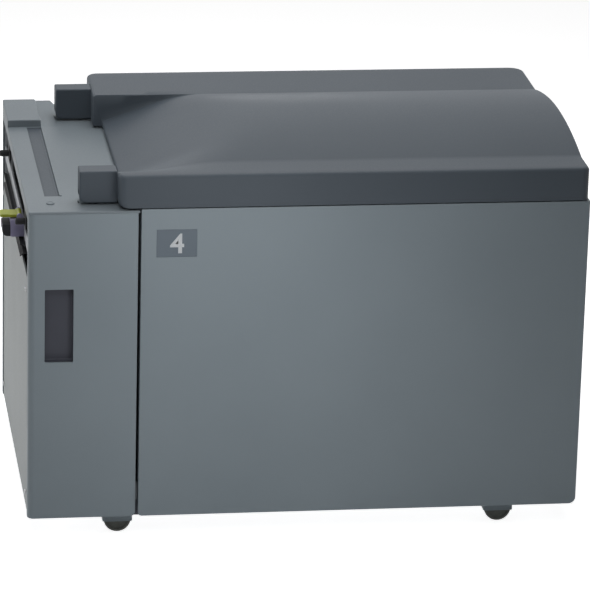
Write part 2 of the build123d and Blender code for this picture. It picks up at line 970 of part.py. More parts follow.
def release_lever():
    """Finger lever that frees the docking hook."""
    d = lever_span()
    half = lever_thick / 2
    tab = block((-dock_reach, lever_pivot_x), d, (lever_pivot - half, lever_pivot + half))
    tab = fillet(tab.edges().filter_by(Axis.Z).group_by(Axis.X)[0], lever_thick)
    lever = tab + rod_d(lever_pivot_x, d, lever_pivot, lever_hub)
    return lever - rod_d(lever_pivot_x, d, lever_pivot, lever_pin + running_gap)


def docking_catch():
    """Coloured housing on the docking beam, with two ears that carry the release lever's pin."""
    d = (hook_d - skin, hook_d + hook_width + skin)
    housing = block((-catch_out, skin), d, (beam_bottom, catch_top))
    housing = fillet(housing.faces().sort_by(Axis.X)[0].edges(), skin / 2)
    low, high = lever_span()
    ears = [
        (low - lever_side_gap - ear_thick, low - lever_side_gap),
        (high + lever_side_gap, high + lever_side_gap + ear_thick),
    ]
    for ear in ears:
        stand = block(
            (lever_pivot_x - lever_hub, lever_pivot_x + lever_hub), ear, (catch_top - skin, lever_pivot)
        )
        housing = housing + stand + rod_d(lever_pivot_x, ear, lever_pivot, lever_hub)
    return housing + rod_d(lever_pivot_x, (ears[0][0], ears[1][1]), lever_pivot, lever_pin)


def docking_hook():
    low = beam_bottom + seat_gap
    points = [
        (-catch_out, low),
        (-catch_out, low + hook_height),
        (-hook_out, low + hook_height),
        (-hook_out, low + hook_slope),
        (-hook_out + hook_slope, low),
    ]
    return upright(points, (hook_d, hook_d + hook_width))


def docking_pins():
    """Steel locating pins, each on a plate between the beam and the top frame."""
    pieces = []
    for d in (pin_inset, body_depth - pin_inset):
        plate = block(
            (skin, skin + post_thick),
            (d - pin_plate / 2, d + pin_plate / 2),
            (catch_top, frame_top),
        )
        pin = rod_x((-pin_out, skin), d, pin_z, pin_radius)
        pin = chamfer(pin.faces().sort_by(Axis.X)[0].edges(), pin_radius / 3)
        pieces.append(plate + pin)
    return group(pieces)


# Paper lift


def guide_reach():
    """Innermost depth that a side guide reaches, from the front."""
    return middle_d - stack_width / 2 + side_guide_travel


def lift_tray():
    x = (bin_left + sheet + tray_gap, bin_right - tray_gap)
    d = (wall_front + sheet + tray_gap, wall_rear - sheet - tray_gap)
    z = (tray_rest, tray_top)
    tray = block(x, d, z) - block(
        (x[0] + tray_sheet, x[1] - tray_sheet),
        (d[0] + tray_sheet, d[1] - tray_sheet),
        (z[0] - overcut, z[1] - tray_sheet),
    )
    through = (z[0] - overcut, z[1] + overcut)
    half = side_guide_length / 2 + notch_gap
    depth = guide_reach() + notch_gap
    side_x = (side_guide_x - half, side_guide_x + half)
    tray = tray - block(side_x, (d[0] - overcut, depth), through)
    tray = tray - block(side_x, (body_depth - depth, d[1] + overcut), through)
    half = end_guide_width / 2 + notch_gap
    end_x = end_guide_x - end_guide_travel - notch_gap - guide_rib
    tray = tray - block((end_x, x[1] + overcut), (middle_d - half, middle_d + half), through)
    for place in lug_places():
        lug = (place - lug_width / 2, place + lug_width / 2)
        tray = tray + block(lug, (wall_front - lug_out, d[0] + tray_sheet), z)
        tray = tray + block(lug, (d[1] - tray_sheet, wall_rear + lug_out), z)
    return tray


def tray_pad():
    """Friction pad under the leading edge of the stack."""
    x = (bin_left + sheet + 2 * tray_gap, side_guide_x - side_guide_length / 2 - 2 * notch_gap)
    half = feed_width
    return block(x, (middle_d - half, middle_d + half), (tray_top, tray_top + pad_thick))


def lift_rails():
    """Channels outside the bin's walls, one round each lug of the tray."""
    pieces = []
    half = lug_width / 2 + rail_room
    outer = half + rail_wall
    z = (pan_floor + rail_wall, tray_top + lift_travel + 2 * notch_gap)
    depth = lug_out + rail_room
    for x in lug_places():
        for side, wall in ((-1, wall_front), (1, wall_rear)):
            near = (wall, wall + side * depth)
            far = (wall, wall + side * (depth + rail_wall))
            channel = block((x - outer, x + outer), (min(far), max(far)), z)
            room = block((x - half, x + half), (min(near), max(near)), (z[0] - overcut, z[1] + overcut))
            pieces.append(channel - room)
    return group(pieces)


def lift_shaft():
    """Cross shaft with a wire drum outside each wall."""
    ends = (wall_front - 2 * drum_width, wall_rear + 2 * drum_width)
    shaft = rod_d(lift_shaft_x, ends, lift_shaft_z, lift_shaft_radius)
    for near in (ends[0] + drum_inset, ends[1] - drum_inset - drum_width):
        far = near + drum_width
        drum = rod_d(lift_shaft_x, (near, far), lift_shaft_z, drum_radius)
        groove = rod_d(lift_shaft_x, (near + skin, far - skin), lift_shaft_z, drum_radius + overcut)
        core = rod_d(lift_shaft_x, (near + skin, far - skin), lift_shaft_z, drum_radius - skin)
        shaft = shaft + (drum - (groove - core))
    return shaft


def lift_motor():
    """Gearbox round the lift shaft, standing on the pan, with its motor to the right."""
    half = gearbox_size / 2
    box = block(
        (lift_shaft_x - half, lift_shaft_x + half),
        (middle_d - gearbox_width / 2, middle_d + gearbox_width / 2),
        (pan_floor, lift_shaft_z + half),
    )
    box = box - rod_d(
        lift_shaft_x,
        (middle_d - gearbox_width, middle_d + gearbox_width),
        lift_shaft_z,
        lift_shaft_radius + running_gap,
    )
    can = rod_x(
        (lift_shaft_x + half, lift_shaft_x + half + motor_length), middle_d, lift_shaft_z, motor_radius
    )
    return box + can


# Paper guides


def guide_rails():
    """Rail across the pan for the side guides and one along it for the end guide."""
    half = guide_rail_width / 2
    z = (pan_floor, pan_floor + guide_rail_height)
    across = block(
        (side_guide_x - half, side_guide_x + half), (wall_front + sheet, wall_rear - sheet), z
    )
    start = end_guide_x - end_guide_travel - guide_rib
    along = block((start, bin_right), (middle_d - half, middle_d + half), z)
    return group([across, along])


def saddle(low, high):
    """Room for a rail under a guide's foot, across the rail and upwards."""
    top = pan_floor + guide_rail_height + seat_gap
    return (low - seat_gap, high + seat_gap), (pan_floor - overcut, top)


def side_guide(side):
    """Upright fence at one side of the stack, on a foot that slides on the cross rail."""
    half = guide_rail_width / 2
    outer_half = half + 2 * skin
    near = middle_d - side * stack_width / 2
    foot_d = (near, near - side * guide_foot)
    foot_top = pan_floor + guide_rail_height + 2 * skin
    foot = block(
        (side_guide_x - outer_half, side_guide_x + outer_half),
        (min(foot_d), max(foot_d)),
        (pan_floor + seat_gap, foot_top),
    )
    rail_x, rail_z = saddle(side_guide_x - half, side_guide_x + half)
    foot = foot - block(rail_x, (min(foot_d) - overcut, max(foot_d) + overcut), rail_z)
    plate_d = (near, near - side * guide_thick)
    span = (side_guide_x - side_guide_length / 2, side_guide_x + side_guide_length / 2)
    low = foot_top - skin
    fence = block(span, (min(plate_d), max(plate_d)), (low, guide_top))
    guide = foot + fence
    for place in between(span[0] + skin, span[1] - skin, guide_ribs):
        rib_d = (near - side * guide_thick, near - side * guide_rib)
        rib = block((place - skin / 2, place + skin / 2), (min(rib_d), max(rib_d)), (low, guide_top))
        guide = guide + rib
    return guide


def front_side_guide():
    return side_guide(1)


def rear_side_guide():
    return side_guide(-1)


def end_guide():
    """Upright stop behind the stack, on a foot that slides on the long rail."""
    half = guide_rail_width / 2
    outer_half = half + 2 * skin
    foot_top = pan_floor + guide_rail_height + 2 * skin
    foot = block(
        (end_guide_x, end_guide_x + guide_foot),
        (middle_d - outer_half, middle_d + outer_half),
        (pan_floor + seat_gap, foot_top),
    )
    rail_d, rail_z = saddle(middle_d - half, middle_d + half)
    foot = foot - block((end_guide_x - overcut, end_guide_x + guide_foot + overcut), rail_d, rail_z)
    span = (middle_d - end_guide_width / 2, middle_d + end_guide_width / 2)
    fence = block((end_guide_x, end_guide_x + guide_thick), span, (foot_top - skin, guide_top))
    guide = foot + fence
    for place in (span[0] + skin / 2, span[1] - skin / 2):
        rib = block(
            (end_guide_x, end_guide_x + guide_rib),
            (place - skin / 2, place + skin / 2),
            (foot_top - skin, guide_top),
        )
        guide = guide + rib
    return guide


# Motors, fan, heater and board


def feed_motor():
    """Drive motor on the outside of the rear frame plate, with its mounting flange."""
    plate = frame_rear + frame_sheet
    flange = block(
        (feed_motor_x - feed_motor_radius - skin, feed_motor_x + feed_motor_radius + skin),
        (plate, plate + skin),
        (feed_motor_z - feed_motor_radius - skin, feed_motor_z + feed_motor_radius + skin),
    )
    can = rod_d(feed_motor_x, (plate, plate + feed_motor_length), feed_motor_z, feed_motor_radius)
    return flange + can


def fan_span():
    back = body_depth - skin
    return (back - fan_depth, back)


def fan_housing():
    """Square fan frame behind the louvres, with a spider that carries the fan's pin."""
    d = fan_span()
    half = fan_size / 2
    frame = block((fan_x - half, fan_x + half), d, (fan_z - half, fan_z + half))
    frame = frame - rod_d(fan_x, (d[0] - overcut, d[1] + overcut), fan_z, fan_bore)
    spider = rod_d(fan_x, (d[0], d[0] + skin), fan_z, fan_hub)
    for step in range(fan_spokes):
        spoke = Pos(0, 0, fan_bore / 2) * Box(spoke_width, skin, fan_bore + overcut)
        spoke = Pos(at(fan_x, d[0] + skin / 2, fan_z)) * Rot(0, 360 * step / fan_spokes, 0) * spoke
        spider = spider + spoke
    pin = rod_d(fan_x, (d[0], d[1] - 2 * skin), fan_z, fan_pin)
    return frame + spider + pin


def fan_impeller():
    d = (fan_span()[0] + skin + fan_tip_gap, fan_span()[1] - skin)
    hub = rod_d(fan_x, d, fan_z, fan_hub)
    length = fan_bore - fan_tip_gap - fan_hub
    for step in range(fan_blades):
        blade = Box(blade_thick, blade_chord, length + skin)
        blade = Pos(0, 0, fan_hub + (length - skin) / 2) * Rot(0, 0, blade_twist) * blade
        place = Pos(at(fan_x, (d[0] + d[1]) / 2, fan_z)) * Rot(0, 360 * step / fan_blades, 0)
        hub = hub + place * blade
    ring = rod_d(fan_x, d, fan_z, fan_bore - fan_tip_gap)
    hole = rod_d(fan_x, (d[0] - overcut, d[1] - skin), fan_z, fan_pin + running_gap)
    return (hub & ring) - hole


def control_board():
    """Board on standoffs on the rear wall, with a few large components."""
    back = wall_rear - sheet
    d = (back - standoff - board_thick, back - standoff)
    x = (board_x, board_x + board_width)
    z = (board_z, board_z + board_height)
    board = block(x, d, z)
    margin = 4 * skin
    for px in (x[0] + margin, x[1] - margin):
        for pz in (z[0] + margin, z[1] - margin):
            board = board + rod_d(px, (d[1], back), pz, skin)
    for column in range(chip_columns):
        for row in range(chip_rows):
            px = x[0] + board_width * (column + 0.5) / chip_columns
            pz = z[0] + board_height * (row + 0.5) / chip_rows
            width = chip_narrow if (row + column) % 2 else chip_wide
            tall = chip_height * (1 + (column * row) % 2)
            chip = block(
                (px - width / 2, px + width / 2),
                (d[0] - tall, d[0]),
                (pz - chip_length / 2, pz + chip_length / 2),
            )
            board = board + chip
    return board


def air_heater():
    """Finned heater that keeps the paper dry, on the pan under the tray."""
    x = (heater_x, heater_x + heater_length)
    d = (heater_d, heater_d + heater_width)
    base = block(x, d, (pan_floor, pan_floor + heater_base))
    for place in between(x[0] + skin, x[1] - skin, heater_fins):
        fin = block(
            (place - sheet / 2, place + sheet / 2), d, (pan_floor, pan_floor + heater_height)
        )
        base = base + fin
    return base


# Casters


def caster_places():
    rear = body_depth - caster_inset
    return {
        "front_left": (caster_left, caster_inset),
        "front_right": (caster_right, caster_inset),
        "rear_left": (caster_left, rear),
        "rear_right": (caster_right, rear),
    }


def crown_top():
    return pan_under - plate_thick - raceway_height - seat_gap


def caster_plates():
    pieces = []
    half = caster_plate / 2
    for x, d in caster_places().values():
        plate = block((x - half, x + half), (d - half, d + half), (pan_under - plate_thick, pan_under))
        ring = rod_z(
            x, d, (pan_under - plate_thick - raceway_height, pan_under - plate_thick), raceway
        )
        pin = rod_z(x, d, (crown_top() - crown_height, pan_under - plate_thick), kingpin)
        pieces.append(plate + ring + pin)
    return group(pieces)


def caster_fork(x, d):
    """Crown round the kingpin, two cheeks and the wheel's axle."""
    z = (crown_top() - crown_height, crown_top())
    fork = rod_z(x, d, z, raceway)
    inner = wheel_width / 2 + fork_gap
    outer = inner + fork_wall
    crown = block((x - raceway / 2, x + trail), (d - outer, d + outer), z)
    fork = fork + crown
    for side in (-1, 1):
        span = (min(d + side * inner, d + side * outer), max(d + side * inner, d + side * outer))
        cheek = upright(
            [
                (x - raceway / 2, z[1]),
                (x + trail, z[1]),
                (x + trail + fork_reach, wheel_radius),
                (x + trail - fork_reach, wheel_radius),
                (x - raceway / 2, z[0]),
            ],
            span,
        )
        fork = fork + cheek + rod_d(x + trail, span, wheel_radius, fork_reach)
    fork = fork - rod_z(x, d, (z[0] - overcut, z[1] + overcut), kingpin + running_gap)
    return fork + rod_d(x + trail, (d - outer, d + outer), wheel_radius, wheel_hole - running_gap)


def caster_wheel(x, d):
    span = (d - wheel_width / 2, d + wheel_width / 2)
    wheel = rod_d(x + trail, span, wheel_radius, wheel_radius)
    wheel = fillet(wheel.edges().filter_by(GeomType.CIRCLE), skin)
    return wheel - rod_d(x + trail, (span[0] - overcut, span[1] + overcut), wheel_radius, wheel_hole)


nodes = {
    "base_pan": base_pan(),
    "bin_front_wall": bin_front_wall(),
    "bin_rear_wall": bin_rear_wall(),
    "cross_walls": cross_walls(),
    "docking_frame": docking_frame(),
    "top_frame": top_frame(),
    "bin_rim": bin_rim(),
    "front_panel": front_panel(),
    "badge_plate": badge_plate(),
    "right_cover": right_cover(),
    "rear_cover": rear_cover(),
    "cover_screws": cover_screws(),
    "left_side_plate": left_side_plate(),
    "left_top_cover": left_top_cover(),
    "tray_button": tray_button(),
    "lid_shell": lid_shell(),
    "lid_liner": lid_liner(),
    "lid_bumpers": lid_bumpers(),
    "hinge_arms": hinge_arms(),
    "hinge_brackets": hinge_brackets(),
    "left_door": left_door(),
    "door_pull": door_pull(),
    "door_inner": door_inner(),
    "door_brackets": door_brackets(),
    "feed_frame": feed_frame(),
    "feed_roller": feed_roller(),
    "separation_roller": separation_roller(),
    "transport_roller": transport_roller(),
    "pinch_roller": pinch_roller(),
    "turn_knob": turn_knob(),
    "pickup_arm": pickup_arm(),
    "pickup_roller": pickup_roller(),
    "exit_guide": exit_guide(),
    "release_lever": release_lever(),
    "docking_catch": docking_catch(),
    "docking_hook": docking_hook(),
    "docking_pins": docking_pins(),
    "lift_tray": lift_tray(),
    "tray_pad": tray_pad(),
    "lift_rails": lift_rails(),
    "lift_shaft": lift_shaft(),
    "lift_motor": lift_motor(),
    "guide_rails": guide_rails(),
    "front_side_guide": front_side_guide(),
    "rear_side_guide": rear_side_guide(),
    "end_guide": end_guide(),
    "feed_motor": feed_motor(),
    "fan_housing": fan_housing(),
    "fan_impeller": fan_impeller(),
    "control_board": control_board(),
    "air_heater": air_heater(),
    "caster_plates": caster_plates(),
}
for corner, (x, d) in caster_places().items():
    nodes["fork_" + corner] = caster_fork(x, d)
    nodes["wheel_" + corner] = caster_wheel(x, d)

for name, shape in nodes.items():
    export_step(shape, f"parts/{name}.step")
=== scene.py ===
import json
import math

import bmesh
import bpy
from mathutils import Matrix, Vector


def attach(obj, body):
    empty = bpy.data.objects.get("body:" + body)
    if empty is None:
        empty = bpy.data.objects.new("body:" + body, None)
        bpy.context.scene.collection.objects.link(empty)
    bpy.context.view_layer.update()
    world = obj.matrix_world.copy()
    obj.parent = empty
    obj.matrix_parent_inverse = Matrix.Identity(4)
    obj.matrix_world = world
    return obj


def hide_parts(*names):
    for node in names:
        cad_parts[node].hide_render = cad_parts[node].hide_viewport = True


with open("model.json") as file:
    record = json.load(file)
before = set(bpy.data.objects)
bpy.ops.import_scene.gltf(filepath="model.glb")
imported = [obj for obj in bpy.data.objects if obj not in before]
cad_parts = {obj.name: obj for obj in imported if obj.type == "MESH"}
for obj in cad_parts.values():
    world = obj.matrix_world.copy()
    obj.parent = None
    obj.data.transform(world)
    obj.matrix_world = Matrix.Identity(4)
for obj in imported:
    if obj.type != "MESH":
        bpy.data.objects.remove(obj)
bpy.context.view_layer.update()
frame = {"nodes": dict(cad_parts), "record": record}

print("frame loaded", len(frame["nodes"]), "nodes")


def toLinear(hexText):
    channels = [int(hexText[i:i + 2], 16) / 255 for i in (1, 3, 5)]
    return tuple([c / 12.92 if c <= 0.04045 else ((c + 0.055) / 1.055) ** 2.4 for c in channels] + [1.0])


def addNode(tree, kind, settings, inputs):
    node = tree.nodes.new(kind)
    for key, value in settings.items():
        setattr(node, key, value)
    for key, value in inputs.items():
        if isinstance(value, bpy.types.NodeSocket):
            tree.links.new(value, node.inputs[key])
        else:
            node.inputs[key].default_value = value
    return node


def startMaterial(name, metallic=0.0, ior=None):
    material = bpy.data.materials.new(name)
    material.use_nodes = True
    tree = material.node_tree
    shader = tree.nodes["Principled BSDF"]
    shader.inputs["Metallic"].default_value = metallic
    if ior:
        shader.inputs["IOR"].default_value = ior
    place = addNode(tree, "ShaderNodeTexCoord", {}, {}).outputs["Object"]
    return material, tree, shader, place


noiseRange = (0.3, 0.7)  # nearly all values of a noise texture lie between these


# Tone, roughness and relief each follow a pattern, spread about the finish's own values.
def dressShader(tree, shader, finish, look, tone, wear, relief, strength):
    dark, light = toLinear(finish["dark"]), toLinear(finish["light"])
    shader.inputs["Base Color"].default_value = dark  # for a viewer that reads no nodes
    evened = addNode(tree, "ShaderNodeMapRange", {}, {"Value": tone, "From Min": look["toneRange"][0],
                                                      "From Max": look["toneRange"][1]})
    colour = addNode(tree, "ShaderNodeMix", {"data_type": "RGBA"}, {0: evened.outputs[0], 6: dark, 7: light})
    rough = addNode(tree, "ShaderNodeMapRange", {}, {"Value": wear, "From Min": noiseRange[0],
                                                     "From Max": noiseRange[1],
                                                     "To Min": finish["rough"] - look["smoother"],
                                                     "To Max": finish["rough"] + look["rougher"]})
    bump = addNode(tree, "ShaderNodeBump", {}, {"Height": relief, "Strength": strength, "Distance": look["high"]})
    for socket, source in (("Base Color", colour.outputs[2]), ("Roughness", rough.outputs[0]),
                           ("Normal", bump.outputs["Normal"])):
        tree.links.new(source, shader.inputs[socket])


# Moulded ABS: the tool's walls are spark eroded, so the skin is a fine matt grain over very slow changes of tone.
# The real grain is about 0.2 mm wide, and is drawn 2 to 4 mm wide so that it shows.
absLook = {"ior": 1.46, "specular": 0.3, "toneRange": noiseRange, "cloudDetail": 2.0, "grainDetail": 3.0,
           "grainRough": 0.6, "smoother": 0.05, "rougher": 0.05, "high": 0.0004}


def mouldedAbs(name, finish):
    material, tree, shader, place = startMaterial(name, ior=absLook["ior"])
    shader.inputs["Specular IOR Level"].default_value = absLook["specular"]
    cloud = addNode(tree, "ShaderNodeTexNoise", {}, {"Vector": place, "Scale": 1 / finish["cloud"],
                                                     "Detail": absLook["cloudDetail"]})
    grain = addNode(tree, "ShaderNodeTexNoise", {}, {"Vector": place, "Scale": 1 / finish["grain"],
                                                     "Detail": absLook["grainDetail"],
                                                     "Roughness": absLook["grainRough"]})
    dressShader(tree, shader, finish, absLook, cloud.outputs["Fac"], grain.outputs["Fac"], grain.outputs["Fac"],
                finish["depth"])
    return material


# Galvanised sheet: zinc freezes in flat grains about 12 mm across that catch the light apart.
sheetLook = {"toneRange": (0.0, 1.0), "cloudScale": 12.0, "cloudDetail": 3.0, "smoother": 0.06, "rougher": 0.08,
             "strength": 0.08, "high": 0.0003}


def galvanisedSheet(name, finish):
    material, tree, shader, place = startMaterial(name, metallic=1.0)
    spangle = addNode(tree, "ShaderNodeTexVoronoi", {}, {"Vector": place, "Scale": 1 / finish["spangle"]})
    cloud = addNode(tree, "ShaderNodeTexNoise", {}, {"Vector": place, "Scale": sheetLook["cloudScale"],
                                                     "Detail": sheetLook["cloudDetail"]})
    dressShader(tree, shader, finish, sheetLook, spangle.outputs["Color"], cloud.outputs["Fac"],
                spangle.outputs["Distance"], sheetLook["strength"])
    return material


# Turned or drawn metal: fine lines round or along the piece. They are coarser than real ones, 0.5 mm apart, to show.
metalLook = {"toneRange": noiseRange, "lineDetail": 2.0, "smoother": 0.05, "rougher": 0.07, "strength": 0.12,
             "high": 0.0002}


def drawnMetal(name, finish):
    material, tree, shader, place = startMaterial(name, metallic=1.0)
    stretched = addNode(tree, "ShaderNodeMapping", {}, {"Vector": place, "Scale": finish["stretch"]})
    lines = addNode(tree, "ShaderNodeTexNoise", {}, {"Vector": stretched.outputs[0], "Scale": 1 / finish["line"],
                                                     "Detail": metalLook["lineDetail"]})
    dressShader(tree, shader, finish, metalLook, lines.outputs["Fac"], lines.outputs["Fac"], lines.outputs["Fac"],
                metalLook["strength"])
    return material


# Cured rubber: dead matt, with a bloom of dust that lightens it in patches about 10 mm wide.
rubberLook = {"ior": 1.52, "toneRange": noiseRange, "dustDetail": 5.0, "dustRough": 0.65, "smoother": 0.08,
              "rougher": 0.06, "strength": 0.15, "high": 0.0003}


def curedRubber(name, finish):
    material, tree, shader, place = startMaterial(name, ior=rubberLook["ior"])
    dust = addNode(tree, "ShaderNodeTexNoise", {}, {"Vector": place, "Scale": 1 / finish["patch"],
                                                    "Detail": rubberLook["dustDetail"],
                                                    "Roughness": rubberLook["dustRough"]})
    dressShader(tree, shader, finish, rubberLook, dust.outputs["Fac"], dust.outputs["Fac"], dust.outputs["Fac"],
                rubberLook["strength"])
    return material


finishes = {
    "panel_grey": (mouldedAbs, {"dark": "#89949b", "light": "#8f9aa1", "cloud": 0.35, "grain": 0.003,
                                "depth": 0.08, "rough": 0.5}),
    "lid_grey": (mouldedAbs, {"dark": "#485058", "light": "#4d555d", "cloud": 0.3, "grain": 0.0025,
                              "depth": 0.12, "rough": 0.55}),
    "cover_grey": (mouldedAbs, {"dark": "#7a8389", "light": "#818a90", "cloud": 0.3, "grain": 0.003,
                                "depth": 0.08, "rough": 0.5}),
    "dark_plastic": (mouldedAbs, {"dark": "#42444d", "light": "#4a4c55", "cloud": 0.1, "grain": 0.0025,
                                  "depth": 0.1, "rough": 0.55}),
    "black_plastic": (mouldedAbs, {"dark": "#1b1c1e", "light": "#232427", "cloud": 0.05, "grain": 0.002,
                                   "depth": 0.15, "rough": 0.62}),
    "badge_grey": (mouldedAbs, {"dark": "#65707a", "light": "#6a757f", "cloud": 0.1, "grain": 0.002,
                                "depth": 0.04, "rough": 0.4}),
    "lever_green": (mouldedAbs, {"dark": "#9aa233", "light": "#a9b03a", "cloud": 0.03, "grain": 0.002,
                                 "depth": 0.06, "rough": 0.42}),
    "catch_violet": (mouldedAbs, {"dark": "#8f8ba9", "light": "#9a96b4", "cloud": 0.03, "grain": 0.002,
                                  "depth": 0.06, "rough": 0.42}),
    "light_plastic": (mouldedAbs, {"dark": "#ccd0d4", "light": "#d6dadd", "cloud": 0.1, "grain": 0.002,
                                   "depth": 0.06, "rough": 0.4}),
    "painted_cover": (mouldedAbs, {"dark": "#8b9299", "light": "#92999f", "cloud": 0.3, "grain": 0.004,
                                   "depth": 0.12, "rough": 0.5}),
    "side_plate": (mouldedAbs, {"dark": "#828889", "light": "#8a9091", "cloud": 0.2, "grain": 0.004,
                                "depth": 0.1, "rough": 0.5}),
    "galvanised": (galvanisedSheet, {"dark": "#74777b", "light": "#8a8d90", "spangle": 0.012, "rough": 0.5}),
    "steel": (drawnMetal, {"dark": "#8c8d90", "light": "#a6a7a9",
                           "stretch": (1, 40, 1), "line": 0.02, "rough": 0.32}),
    "rubber": (curedRubber, {"dark": "#17171a", "light": "#26262a", "patch": 0.012, "rough": 0.8}),
    "wheel_rubber": (curedRubber, {"dark": "#4a4c48", "light": "#686a65", "patch": 0.01, "rough": 0.75}),
    "board_green": (mouldedAbs, {"dark": "#0e3d24", "light": "#14502f", "cloud": 0.02, "grain": 0.003,
                                 "depth": 0.2, "rough": 0.35}),
    "aluminium": (drawnMetal, {"dark": "#b5b7ba", "light": "#c8cacc",
                               "stretch": (40, 1, 1), "line": 0.02, "rough": 0.35}),
}
materials = {slot: make(slot, finish) for slot, (make, finish) in finishes.items()}
slotOf = {part["node"]: part["material_slot"] for part in frame["record"]["subparts"]}
for node, body in frame["nodes"].items():
    for slot in body.material_slots:
        slot.material = materials[slotOf[node]]
print("materials on", len(slotOf), "nodes")

# Places are given as on a drawing, in millimetres: x from the body's left side, d back from its front face, z up.
leftX, frontY = -0.469, -0.32
axisX, axisD, axisZ = 0, 1, 2
smoothAngle = 32.0  # degrees: faces that meet at less are shaded as one surface
shortOf = 1.0  # millimetres: how far a test for what lies within an edge stays away from it


def at(x, d, z):
    return Vector((leftX + x / 1000, frontY + d / 1000, z / 1000))


def drawn(point):
    return (point.x - leftX) * 1000, (point.y - frontY) * 1000, point.z * 1000


def spanAt(middle, half):
    return middle - half, middle + half


# Only these are selected, and the last of them is active.
def chooseOnly(*pieces):
    if bpy.context.mode != "OBJECT":
        bpy.ops.object.mode_set(mode="OBJECT")
    bpy.ops.object.select_all(action="DESELECT")
    for piece in pieces:
        piece.select_set(True)
        bpy.context.view_layer.objects.active = piece


def startBlock(name, x, d, z):
    chooseOnly()
    low, high = at(x[0], d[0], z[0]), at(x[1], d[1], z[1])
    bpy.ops.mesh.primitive_cube_add(size=1.0, location=(low + high) / 2, scale=high - low)
    bpy.ops.object.transform_apply(location=True, rotation=True, scale=True)
    piece = bpy.context.object
    piece.name = piece.data.name = name
    return piece


def startRound(name, axis, centre, radius, length, sides):
    chooseOnly()
    turn = {axisX: (0, math.pi / 2, 0), axisD: (math.pi / 2, 0, 0), axisZ: (0, 0, 0)}[axis]
    bpy.ops.mesh.primitive_cylinder_add(vertices=sides, radius=radius / 1000, depth=length / 1000,
                                        location=at(*centre), rotation=turn)
    bpy.ops.object.transform_apply(location=True, rotation=True, scale=True)
    piece = bpy.context.object
    piece.name = piece.data.name = name
    return piece


# Edges or faces are picked by a test on each one and the place of its middle.
def pick(piece, kind, test):
    if bpy.context.mode != "EDIT_MESH":
        bpy.context.view_layer.objects.active = piece
        bpy.ops.object.mode_set(mode="EDIT")
    bpy.ops.mesh.select_mode(type=kind)
    bpy.ops.mesh.select_all(action="DESELECT")
    mesh = bmesh.from_edit_mesh(piece.data)
    for item in {"EDGE": mesh.edges, "FACE": mesh.faces}[kind]:
        if test(item, *drawn(sum((corner.co for corner in item.verts), Vector()) / len(item.verts))):
            item.select_set(True)
    mesh.select_flush_mode()
    bmesh.update_edit_mesh(piece.data)


def runsAlong(edge, axis, share=0.98):
    across = edge.verts[1].co - edge.verts[0].co
    return abs(across[axis]) > share * across.length


def facing(face, axis, side=1, share=0.9):
    return side * face.normal[axis] > share


def besideWall(edge, axis, slack=0.1):
    return any(abs(face.normal[axis]) < slack for face in edge.link_faces)


def near(value, *goals, slack=0.05):
    return any(abs(value - goal) < slack for goal in goals)


def bevelPicked(width, steps):
    bpy.ops.mesh.bevel(offset=width / 1000, segments=steps, profile=0.5, affect="EDGES", clamp_overlap=True)


def insetPicked(width):
    bpy.ops.mesh.inset(thickness=width / 1000)


def pushPicked(x=0.0, d=0.0, z=0.0):
    bpy.ops.mesh.extrude_region_move(TRANSFORM_OT_translate={"value": (x / 1000, d / 1000, z / 1000)})


def cutAcross(piece, axis, places):
    normal = [0.0, 0.0, 0.0]
    normal[axis] = 1.0
    for place in places:
        pick(piece, "FACE", lambda face, x, d, z: True)
        point = [0.0, 0.0, 0.0]
        point[axis] = place
        bpy.ops.mesh.bisect(plane_co=at(*point), plane_no=normal)


# The picked faces are opened, and what is left gets a wall inwards.
def hollowOut(piece, wall, opened):
    pick(piece, "FACE", opened)
    bpy.ops.mesh.delete(type="FACE")
    bpy.ops.object.mode_set(mode="OBJECT")
    shell = piece.modifiers.new("shell", "SOLIDIFY")
    shell.thickness = wall / 1000
    shell.offset = -1.0
    shell.use_even_offset = True
    shell.thickness_clamp = 0.5
    bpy.ops.object.modifier_apply(modifier=shell.name)


# A thick panel becomes a skin with a rim round its back, and the skin keeps its wall behind the rounded side.
def openBack(piece, back, wall, rounded, radius):
    pick(piece, "FACE", lambda face, x, d, z: facing(face, axisD) and near(d, back))
    insetPicked(wall)
    pushPicked(d=wall - back)
    pick(piece, "EDGE", lambda edge, x, d, z: runsAlong(edge, axisZ) and near(x, rounded) and near(d, wall))
    bevelPicked(radius, steps=5)


def joinAll(name, pieces):
    chooseOnly(*pieces[1:], pieces[0])
    bpy.ops.object.join()
    pieces[0].name = pieces[0].data.name = name
    return pieces[0]


def copyTo(piece, name, shift):
    twin = piece.copy()
    twin.data = piece.data.copy()
    twin.name = twin.data.name = name
    bpy.context.scene.collection.objects.link(twin)
    twin.data.transform(Matrix.Translation(Vector(shift) / 1000))
    return twin


def carve(piece, cutter):
    chooseOnly(piece)
    removal = piece.modifiers.new("removal", "BOOLEAN")
    removal.operation = "DIFFERENCE"
    removal.solver = "EXACT"
    removal.object = cutter
    bpy.ops.object.modifier_apply(modifier=removal.name)
    bpy.data.objects.remove(cutter, do_unlink=True)


# Flat faces beside a rounding are shaded flat, except where the whole top is one soft crown.
def finishPiece(piece, slot, body, *nodes, flat=True):
    chooseOnly(piece)
    bpy.ops.object.shade_smooth_by_angle(angle=math.radians(smoothAngle))
    if flat:
        even = piece.modifiers.new("even", "WEIGHTED_NORMAL")
        even.keep_sharp = True
        bpy.ops.object.modifier_apply(modifier=even.name)
    piece.data.materials.clear()
    piece.data.materials.append(materials[slot])
    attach(piece, body)
    if nodes:
        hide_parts(*nodes)


